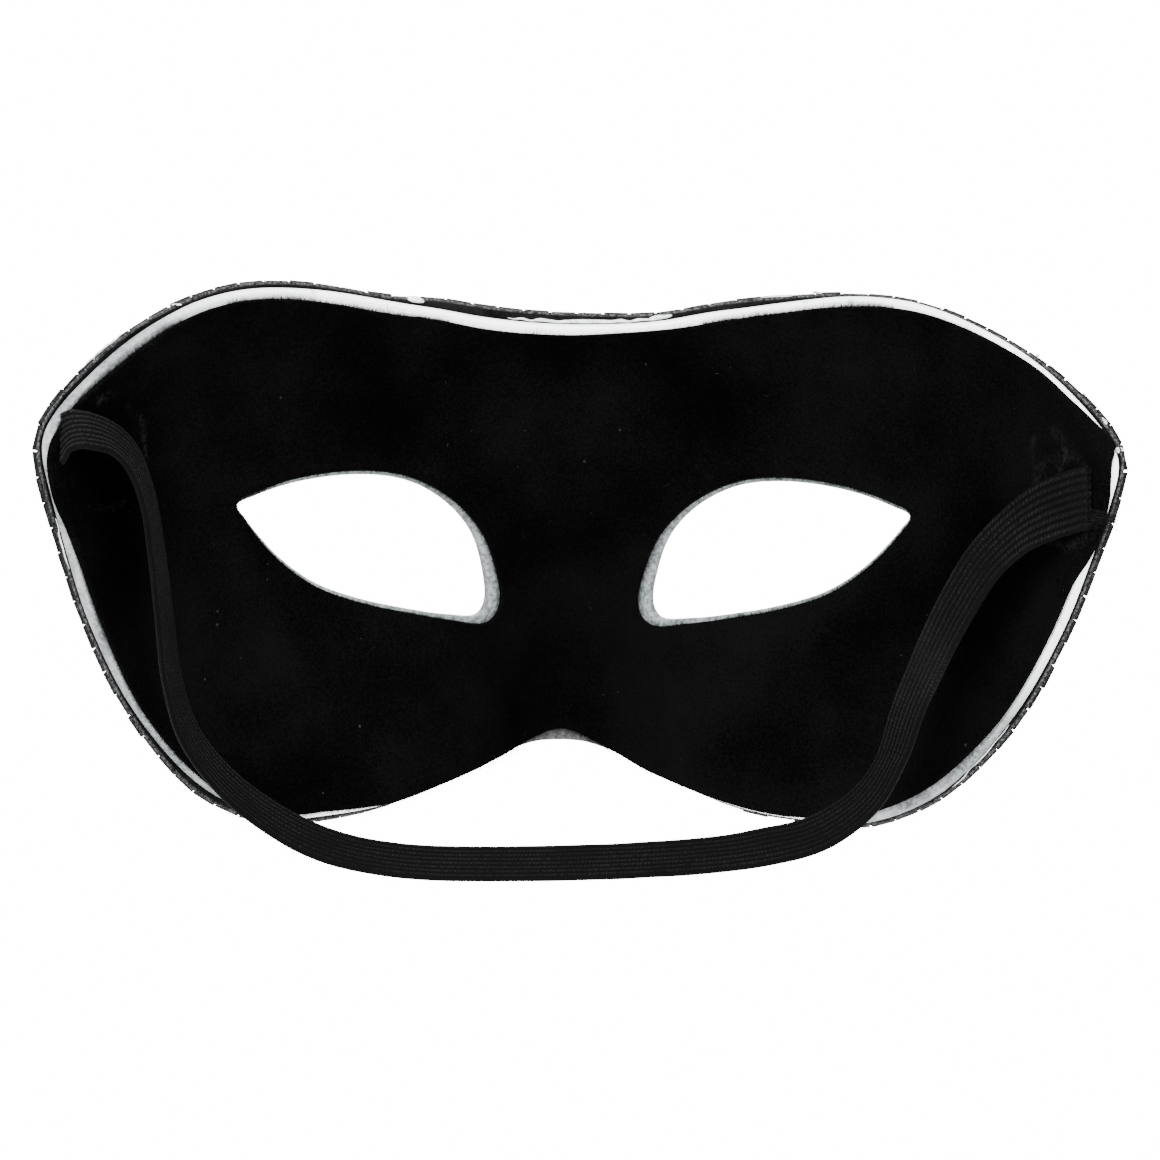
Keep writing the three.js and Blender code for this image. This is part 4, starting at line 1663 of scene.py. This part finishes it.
    def square_field(self) -> list[Array]:
        """Square tiles on a lattice, cut where the courses begin."""
        rng = np.random.default_rng(34)
        pitch = self.tile + self.joint
        columns = np.arange(-24, 24) + 0.5
        lines = np.arange(-11, 11)
        middles = np.stack(np.meshgrid(columns * pitch, lines * pitch + 1.0), axis=-1).reshape(-1, 2)
        half = self.tile / 2
        corners = np.array([[-half, -half], [-half, half], [half, half], [half, -half]])
        squares = middles[:, None] + corners + rng.normal(0, 0.05, (len(middles), 1, 2))
        room = self.room(squares.reshape(-1, 2)).reshape(-1, 4)
        kept = [square for square, gaps in zip(squares, room) if gaps.min() >= 0]
        for square, gaps in zip(squares, room):
            if gaps.min() < 0 < gaps.max():
                kept.append(self.cut(square, gaps))
        return [corners for corners in kept if len(corners) > 2 and self.area(corners) > self.smallest]

    @staticmethod
    def cut(corners: Array, room: Array) -> Array:
        """Cuts a tile along straight lines.

        Args:
            corners: The tile's corners.
            room: How far each corner is inside, negative outside.

        Returns:
            The corners of the part on the side where room is positive.
        """
        kept = []
        for k, (here, gap) in enumerate(zip(corners, room)):
            before, gap_before = corners[k - 1], room[k - 1]
            if (gap > 0) != (gap_before > 0):
                kept.append(before + (here - before) * gap_before / (gap_before - gap))
            if gap > 0:
                kept.append(here)
        return np.array(kept)

    @staticmethod
    def area(corners: Array) -> float:
        """The area of a flat shape: half the sum of its edges' cross products."""
        x, y = corners[:, 0], corners[:, 1]
        return abs(float(np.dot(x, np.roll(y, -1)) - np.dot(y, np.roll(x, -1)))) / 2

    def tile_field(self, shapes: list[Array]) -> Piece:
        """All tiles as one mesh of small bevelled prisms, each tilted a little.

        A prism's rings are its base, its shoulder a bevel below the top, and its top drawn
        in by the bevel. The tilt adds (place - middle) * slope to the depth.

        Args:
            shapes: The corners of each tile.

        Returns:
            The mesh object.
        """
        rng = np.random.default_rng(35)
        base, top = self.back + self.sheet + self.bed - 0.05, self.front - 0.06
        points, face_sets, is_side, tones, sides, count = [], [], [], [], [], 0
        for size in sorted({len(shape) for shape in shapes}):
            flat = np.stack([shape for shape in shapes if len(shape) == size])
            middle = flat.mean(axis=1, keepdims=True)
            first, second = flat[:, 1] - flat[:, 0], flat[:, 2] - flat[:, 1]
            turning = first[:, 0] * second[:, 1] - first[:, 1] * second[:, 0]
            flat = np.where(turning[:, None, None] > 0, flat, flat[:, ::-1])
            reach = np.linalg.norm(flat - middle, axis=-1, keepdims=True).mean(axis=1, keepdims=True)
            drawn = middle + (flat - middle) * (1 - self.bevel / np.maximum(reach, 0.6))
            slope = rng.normal(0, 0.022, (len(flat), 1, 2))
            shoulder = top - self.bevel * 0.6
            rings = []
            for ring, depth, tilted in ((flat, base, 0.0), (flat, shoulder, 1.0), (drawn, top, 1.0)):
                tilt = ((ring - middle) * slope).sum(axis=-1) * tilted
                rings.append(self.flat_on_face(ring, middle, depth, tilt))
            points.append(np.stack(rings, axis=1).reshape(-1, 3))
            tones.append(np.repeat(rng.uniform(0, 1, len(flat)), 3 * size))
            sides.append(np.tile(np.repeat([1.0, 1.0, 0.0], size), len(flat)))
            start = (np.arange(len(flat)) * 3 * size)[:, None]
            wall = grid_faces(3, size, wrap_rows=False, wrap_columns=True)
            walls = (start[:, :, None] + wall[None]).reshape(-1, 4)
            around = np.arange(size)
            ends = np.concatenate([start + 2 * size + around, start + around[::-1]])
            if outward(points[-1], walls) is not walls:
                walls, ends = walls[:, ::-1], ends[:, ::-1]
            bevels = walls[:, 0] % (3 * size) // size > 0
            for faces, on_side in ((walls[~bevels], 1), (walls[bevels], 0), (ends, 0)):
                face_sets.append(faces + count)
                is_side.append(np.full(len(faces), on_side))
            count += len(points[-1])
        marks = {"tone": np.concatenate(tones), "side": np.concatenate(sides)}
        self.side_faces = np.concatenate(is_side)
        return new_object("mosaic_tiles", np.concatenate(points), face_sets, smooth=False, marks=marks)

    def flat_on_face(self, ring: Array, middle: Array, depth: float, tilt: Array) -> Array:
        """Corners on the flat plane that touches the face under each tile's middle.

        A corner is the middle on the face, plus (corner - middle) times the face's slopes
        along and up there, plus the normal times the depth and the tilt.

        Args:
            ring: The corners, by tile, as distances along the face and heights.
            middle: Each tile's middle in the same way.
            depth: How far in front of the wearer's side of the shell the plane lies.
            tilt: What each corner adds to the depth.

        Returns:
            Points in millimetres, by tile and corner.
        """
        face, step = self.outline.face, 0.5
        along, height = middle[..., 0], middle[..., 1]
        zero = 0 * along
        start = face.layer(along, height, zero)
        ahead, behind = face.layer(along + step, height, zero), face.layer(along - step, height, zero)
        above, below = face.layer(along, height + step, zero), face.layer(along, height - step, zero)
        across, upwards = (ahead - behind) / (2 * step), (above - below) / (2 * step)
        offset = ring - middle
        return (start + across * offset[..., :1] + upwards * offset[..., 1:]
                + face.normal(along, height) * (depth + tilt)[..., None])

    def glue_beads(self) -> Piece:
        """Glue squeezed out between the shell and the cover, and here and there between tiles.

        Each bead is a tube along the rim whose radius is an arch, sin of pi times the share,
        times a rough noise.

        Returns:
            The mesh object.
        """
        outline, face = self.outline, self.outline.face
        steps = 60
        share = np.linspace(0, 1, steps)
        paths, radii = [], []
        for number, bead in enumerate(self.glue_spots):
            row = bead.row_from + (bead.row_to - bead.row_from) * share
            wave = smooth_noise(row * 9, 0 * row, 1.0, 50 + number)
            out = outline.stands_out(Cut.SHELL, row % outline.rim.count) + bead.out + 0.12 * wave
            place = outline.edge(outline.rim, row, 0.0, out)
            depth = bead.depth_from + (bead.depth_to - bead.depth_from) * share + 0.1 * wave
            paths.append(face.layer(place[:, 0], place[:, 1], depth))
            radii.append(bead.radius * np.sin(math.pi * share) ** 0.45 * (0.8 + 0.3 * wave) + 0.02)
        points, face_sets = tube_mesh(np.stack(paths), np.stack(radii), sides=10)
        return new_object("glue_beads", points, face_sets)

    def dress(self) -> None:
        """Gives the cover's pieces their finishes and places."""
        Backing().build().wear(self.sheet_piece)
        glue = Glue().build()
        glue.wear(self.bed_piece)
        glue.wear(self.beads)
        Tile().build().wear(self.tiles)
        self.tiles.data.materials.append(TileSide().build().material)
        self.tiles.data.polygons.foreach_set("material_index", self.side_faces)
        settle(self.sheet_piece, Slot.COVER, "front_cover")
        settle(self.bed_piece, Slot.COVER)
        settle(self.tiles, Slot.COVER, "front_cover")
        settle(self.beads, Slot.COVER)


@dataclass(frozen=True)
class StrapRow:
    """A row of the strap's route.

    out and up are as in RimRow. clear is how far the strap stands off the line of the face,
    as a share of its bow, or None where it is glued to the lining. turn is how far its face
    looks inwards, in degrees.
    """

    out: float
    up: float
    clear: float | None = None
    turn: float = 0.0


@dataclass
class ElasticStrap:
    """The flat ribbed elastic from temple to temple, with its frayed cut ends."""

    outline: Outline
    width: float = 10.0
    thickness: float = 1.1
    bow: float = 36.0
    glue: float = 0.6
    lining_back: float = -1.3
    ribs: int = 8
    groove: float = 0.34
    selvedge: float = 0.2
    rib_points: int = 10
    start_skew: float = 0.2
    end_skew: float = 0.19
    end_ring: float = 0.08
    steps: int = 400
    rows: tuple[StrapRow, ...] = tuple(StrapRow(*row) for row in (
        (0.957, 0.402, 0.11, 48), (0.93, 0.426, 0.19, 50), (0.9, 0.434, 0.262, 53),
        (0.869, 0.431, 0.322, 55), (0.842, 0.421, 0.348, 62), (0.816, 0.401, 0.364, 67),
        (0.791, 0.367, 0.378, 72), (0.768, 0.31, 0.385, 77), (0.743, 0.188, 0.385, 81),
        (0.726, 0.01, 0.37, 81), (0.709, -0.222, 0.36, 80), (0.69, -0.48, 0.355, 78),
        (0.653, -0.686, 0.375, 74), (0.577, -0.87, 0.43, 69), (0.48, -1.01, 0.53, 64),
        (0.391, -1.09, 0.65, 62), (0.282, -1.13, 0.8, 62), (0.12, -1.133, 0.95, 62),
        (-0.039, -1.12, 1.0, 62), (-0.199, -1.094, 0.93, 61), (-0.304, -1.061, 0.83, 59),
        (-0.4, -1.005, 0.71, 60), (-0.477, -0.89, 0.62, 66), (-0.526, -0.739, 0.55, 71),
        (-0.558, -0.551, 0.49, 67), (-0.602, -0.347, 0.43, 63), (-0.649, -0.159, 0.37, 58),
        (-0.705, 0.013, 0.305, 53), (-0.77, 0.133, 0.24, 44), (-0.825, 0.193, 0.185, 26),
        (-0.88, 0.227), (-0.907, 0.24), (-0.933, 0.249),
    ))

    def route(self) -> tuple[RowCurve, RowCurve]:
        """The strap's middle line and the way its face looks, row by row.

        A glued row lies on the lining and looks along its normal. A free row stands off the
        line of the face, and its face is cos(turn) * outwards + sin(turn) * inwards, where
        inwards is square to the route and to the wearer's direction.
        """
        face = self.outline.face
        along = np.array([row.out for row in self.rows]) * face.half_spread
        height = face.height_of(np.array([row.up for row in self.rows]))
        glued = np.array([row.clear is None for row in self.rows])
        wall = -face.normal(along, height)
        offset = (self.thickness / 2 + self.glue - self.lining_back) / wall[:, 1]
        clear = np.array([row.clear or 0.0 for row in self.rows]) * self.bow
        middle = face.line_of_face(along, height)
        middle[:, 1] += np.where(glued, offset, clear)
        route = RowCurve(middle, closed=False)
        way = route.along(np.arange(len(self.rows), dtype=float), 0.01)
        inwards = unit(np.cross(np.array([0.0, 1.0, 0.0]), way))
        outwards = np.cross(way, inwards)
        turn = np.radians([row.turn for row in self.rows])[:, None]
        free = outwards * np.cos(turn) + inwards * np.sin(turn)
        return route, RowCurve(np.where(glued[:, None], wall, free), closed=False)

    def frames(self, steps: int) -> tuple[Array, Array, Array, Array, Array]:
        """The strap's cross sections at equal lengths.

        Args:
            steps: How many there are, before the ones near its ends are added.

        Returns:
            Their middles, ways, widths and faces, and the lengths.
        """
        route, faces = self.route()
        dense = np.linspace(0, len(self.rows) - 1, 6000)
        line = route.at(dense)
        length = np.concatenate([[0], np.cumsum(np.linalg.norm(np.diff(line, axis=0), axis=1))])
        lengths = np.linspace(0, length[-1], steps)
        last = [length[-1] - self.end_ring, length[-1]]
        lengths = np.concatenate([[0, self.end_ring], lengths[1:-1], last])
        places = np.interp(lengths, length, dense)
        middle = route.at(places)
        way = unit(np.gradient(middle, axis=0))
        width = unit(np.cross(way, faces.at(places)))
        return middle + self.outline.face.seat_shift, way, width, np.cross(width, way), lengths

    def section(self) -> tuple[Array, Array, Array]:
        """The ribbed section over one face: places across, half thicknesses and groove marks, which say where
        shade is painted.

        A rib is |sin|^0.7 of pi times the place over its pitch, standing on a thinner core,
        and the half thickness runs out to the edge over the selvedge as a quarter circle.
        """
        pitch = (self.width - 2 * self.selvedge) / self.ribs
        across = np.linspace(0, self.ribs * pitch, self.ribs * self.rib_points + 1)
        crown = np.abs(np.sin(math.pi * across / pitch)) ** 0.7
        half = self.thickness / 2 - self.groove * (1 - crown)
        angles = np.linspace(math.pi / 2, 0.15, 4)
        edge_across, edge_half = self.selvedge * np.cos(angles), half[0] * np.sin(angles)
        left = -edge_across[::-1]
        right = self.ribs * pitch + edge_across
        across = np.concatenate([left, across[1:-1], right]) - self.ribs * pitch / 2
        half = np.concatenate([edge_half[::-1], half[1:-1], edge_half])
        marks = np.concatenate([np.full(4, 0.35), (1 - crown[1:-1]) ** 0.8, np.full(4, 0.35)])
        return across, half, marks

    def build(self) -> list[Piece]:
        """Builds the band, the frayed ends and the tuft of thread at the right temple."""
        self.band = self.ribbed_band()
        self.frays = self.frayed_ends()
        self.tuft = self.thread_tuft()
        return [self.band, self.frays, self.tuft]

    def ribbed_band(self) -> Piece:
        """The band: the section's two faces carried along the frames.

        A point is middle + width * across + face * half thickness, with the ribs shallower
        where the band is stretched, and the whole section wavering by a tenth of a millimetre.

        Returns:
            The mesh object.
        """
        middle, way, width, face, lengths = self.frames(self.steps)
        across, half, marks = self.section()
        flat = self.thickness / 2 - self.groove * 0.25
        slack = 0.86 + 0.14 * smooth_noise(lengths, 0 * lengths, 31.0, 61)
        stretched = np.exp(-(((lengths / lengths[-1]) - 0.83) / 0.035) ** 2)
        ribbed = (slack * (1 - 0.6 * stretched))[:, None]
        thick = flat + (half[None] - flat) * ribbed
        thick[:, :4], thick[:, -4:] = half[:4], half[-4:]
        waver = 0.10 * smooth_noise(lengths, 0 * lengths, 14.0, 62)[:, None]
        spread = across[None] * (1 + 0.012 * smooth_noise(lengths, 0 * lengths, 9.0, 63))[:, None] + waver
        ripple = 0.05 * smooth_noise(lengths[:, None] + 0 * spread, spread * 3, 5.0, 64)
        near_start = np.exp(-lengths / 4.0)[:, None]
        near_end = np.exp((lengths - lengths[-1]) / 6.0)[:, None]
        skew = -(self.start_skew * near_start + self.end_skew * near_end) * spread
        sheet = middle[:, None] + width[:, None] * spread[..., None] + way[:, None] * skew[..., None]
        upper = sheet + face[:, None] * (thick + ripple)[..., None]
        lower = sheet + face[:, None] * (ripple - thick)[..., None]
        ring = np.concatenate([upper, lower[:, ::-1]], axis=1)
        steps, columns = ring.shape[:2]
        walls = grid_faces(steps, columns, wrap_rows=False, wrap_columns=True)
        half_count = columns // 2
        k = np.arange(half_count - 1)
        start = np.stack([k, columns - 1 - k, columns - 2 - k, k + 1], axis=-1)
        end = start[:, ::-1] + (steps - 1) * columns
        points = ring.reshape(-1, 3)
        faces = outward(points, np.concatenate([walls, start, end]))
        across_uv = np.concatenate([across, across[::-1]]) + self.width / 2
        uv_points = np.stack(np.broadcast_arrays(lengths[:, None], across_uv[None]), axis=-1).reshape(-1, 2)
        # The groove mark says where shade is painted into the grooves.
        groove = (np.concatenate([marks, marks[::-1]])[None] * ribbed).reshape(-1)
        log.info("the strap is %.0f mm long", lengths[-1])
        return new_object(
            "ribbed_elastic", points, [faces], uv=uv_points[faces.ravel()], marks={"groove": groove}
        )

    def frayed_ends(self) -> Piece:
        """Short cut fibres that stand out of both ends."""
        rng = np.random.default_rng(71)
        middle, way, width, face, _ = self.frames(200)
        roots, ways = [], []
        for index, outwards, skew in ((0, -1.0, self.start_skew), (-1, 1.0, self.end_skew)):
            count = 110
            u = rng.uniform(-self.width / 2 + 0.2, self.width / 2 - 0.2, (count, 1))
            w = rng.uniform(-0.35, 0.35, (count, 1))
            inside = 0.15 * outwards + skew * u
            roots.append(middle[index] + width[index] * u + face[index] * w - way[index] * inside)
            spread = rng.normal(0, 0.5, (count, 1)) * width[index]
            spread = spread + rng.normal(0, 0.25, (count, 1)) * face[index]
            ways.append(unit(way[index] * outwards + spread))
        roots, ways = np.concatenate(roots), np.concatenate(ways)
        bends = rng.normal(0, 0.25, roots.shape)
        lengths = rng.uniform(0.25, 0.85, len(roots))
        points, face_sets = fibre_mesh(roots, ways, bends, lengths, np.full(len(roots), 0.035))
        return new_object("strap_end_fibres", points, face_sets)

    def thread_tuft(self) -> Piece:
        """A fuzzy tuft of thread that runs from the right end of the strap over the rim.

        A thread's place on the face is a blend from the strap's end to past the rim, its
        height wanders by a noise, and its depth falls over the rim's edge by 3t^2 - 2t^3.

        Returns:
            The mesh object.
        """
        rng = np.random.default_rng(72)
        count, steps = 90, 26
        share = np.linspace(0, 1, steps)[None]
        reach = rng.uniform(0.45, 1.0, (count, 1))
        t = share * reach
        start_height = rng.uniform(8.0, 11.0, (count, 1))
        end_height = 6.0 + rng.normal(0, 0.8, (count, 1))
        along = -(91.8 + 8.2 * t)
        height = start_height + (end_height - start_height) * t
        wander = np.stack([smooth_noise(t[k] * 6, 0 * t[k] + k, 1.0, 100 + k) for k in range(count)])
        height = height + 0.55 * wander * np.sin(math.pi * np.clip(t + 0.1, 0, 1))
        over = ease(np.clip((t - 0.55) / 0.4, 0, 1))
        depth = (-2.0 + rng.uniform(-0.35, 0.45, (count, 1))) * (1 - over) + 1.6 * over
        lift = 0.5 * over * (1 - over) * 4
        paths = self.outline.face.layer(along - lift, height, depth)
        radii = np.broadcast_to(rng.uniform(0.05, 0.1, (count, 1)), t.shape) * (1 - 0.6 * share)
        points, face_sets = tube_mesh(paths, radii, sides=5)
        return new_object("thread_tuft", points, face_sets)

    def dress(self) -> None:
        """Gives the strap's pieces their finishes and places."""
        Elastic().build().wear(self.band)
        thread = Fibre().build()
        thread.wear(self.frays)
        thread.wear(self.tuft)
        settle(self.band, Slot.ELASTIC, "elastic_strap")
        settle(self.frays, Slot.ELASTIC)
        settle(self.tuft, Slot.ELASTIC)


# The studio


@dataclass
class Studio:
    """A pale floor, a white surround, soft lights and the camera at the photograph's angle."""

    eye_plane: float = 14.0
    distance: float = 700.0
    millimetres_a_pixel: float = 0.165
    turn: float = 2.2
    roll: float = -0.9
    middle_pixel: tuple[float, float] = (572.0, 561.5)
    floor_drop: float = 230.0
    floor_radius: float = 900.0
    surround_light: float = 2.0
    surround_white: float = 16.0

    def build(self) -> None:
        """Builds the floor, the surround, the lights and the camera."""
        self.floor()
        self.surround()
        self.soft_light("key", (0.30, 0.80, 0.62), 0.55, 44.0)
        self.soft_light("fill", (-0.55, 0.75, 0.10), 0.75, 12.0)
        self.soft_light("front", (0.15, -0.75, 0.45), 0.75, 14.0)
        self.camera()

    def floor(self) -> None:
        """A round pale floor below the mask, rings of points at growing radii."""
        rings, sectors = 5, 96
        radius = np.linspace(0.2, 1.0, rings) * self.floor_radius
        angle = np.arange(sectors) * 2 * math.pi / sectors
        x = radius[:, None] * np.cos(angle)
        y = radius[:, None] * np.sin(angle)
        points = np.stack([x, y, np.full(x.shape, -self.floor_drop)], axis=-1).reshape(-1, 3)
        quads = grid_faces(rings, sectors, wrap_rows=False, wrap_columns=True)
        middle = np.arange(sectors)[None]
        floor = new_object("floor", points, [quads, middle], smooth=False)
        PaleFloor().build().wear(floor)

    def surround(self) -> None:
        """A white world: bright behind the mask, softer as a light on it."""
        world = bpy.data.worlds.new("white_surround")
        world.use_nodes = True
        tree = world.node_tree
        light = tree.nodes["Background"]
        light.inputs["Color"].default_value = (1, 1, 1, 1)
        light.inputs["Strength"].default_value = self.surround_light
        behind = tree.nodes.new("ShaderNodeBackground")
        behind.inputs["Color"].default_value = (1, 1, 1, 1)
        behind.inputs["Strength"].default_value = self.surround_white
        seen = tree.nodes.new("ShaderNodeLightPath").outputs["Is Camera Ray"]
        mix = tree.nodes.new("ShaderNodeMixShader")
        tree.links.new(seen, mix.inputs[0])
        tree.links.new(light.outputs[0], mix.inputs[1])
        tree.links.new(behind.outputs[0], mix.inputs[2])
        tree.links.new(mix.outputs[0], tree.nodes["World Output"].inputs["Surface"])
        bpy.context.scene.world = world

    def soft_light(self, name: str, place: tuple[float, float, float], size: float, power: float) -> None:
        """A square area light that looks at the mask."""
        lamp = bpy.data.lights.new(name, "AREA")
        lamp.size = size
        lamp.energy = power
        light = bpy.data.objects.new(name, lamp)
        light.location = place
        light.rotation_euler = (-Vector(place)).to_track_quat("-Z", "Y").to_euler()
        bpy.context.scene.collection.objects.link(light)

    def camera(self) -> None:
        """The camera: level with the eyes, behind the mask, a long lens, turned and rolled a little.

        Its axes are the row frame's turned by the turn about Z and the roll about Y. It stands
        off the eye plane by the distance, moved so that the mask lies where it does in the
        photograph.
        """
        turn = Matrix.Rotation(math.radians(self.turn), 3, "Z")
        roll = Matrix.Rotation(math.radians(self.roll), 3, "Y")
        back = (roll @ turn).transposed()
        across, down = (PHOTO_SIZE / 2 - pixel for pixel in self.middle_pixel)
        side, lift = across * self.millimetres_a_pixel, down * self.millimetres_a_pixel
        place = Vector((0, self.eye_plane, 0)) + back @ Vector((-side, self.distance, -lift))
        directions = [back @ Vector(way) for way in ((-1, 0, 0), (0, 0, 1), (0, 1, 0))]
        axes = Matrix(directions).transposed()
        data = bpy.data.cameras.new("camera")
        data.sensor_fit = "HORIZONTAL"
        data.lens = data.sensor_width * self.distance / self.millimetres_a_pixel / PHOTO_SIZE
        data.clip_start, data.clip_end = 0.05, 20.0
        data.dof.use_dof = False
        camera = bpy.data.objects.new("camera", data)
        camera.matrix_world = Matrix.Translation(place * MM) @ axes.to_4x4()
        bpy.context.scene.collection.objects.link(camera)
        bpy.context.scene.camera = camera


def main() -> None:
    """Builds and dresses the sub-assemblies in order and reports each piece."""
    logging.basicConfig(level=logging.INFO, format="%(name)s: %(message)s")
    outline = Outline(FaceSurface())
    for assembly in (Shell(outline), Lining(outline), FrontCover(outline), ElasticStrap(outline)):
        built = assembly.build()
        assembly.dress()
        for piece in built:
            log.info("%s: %d faces", piece.name, len(piece.data.polygons))
    Studio().build()


if __name__ == "__main__":
    main()
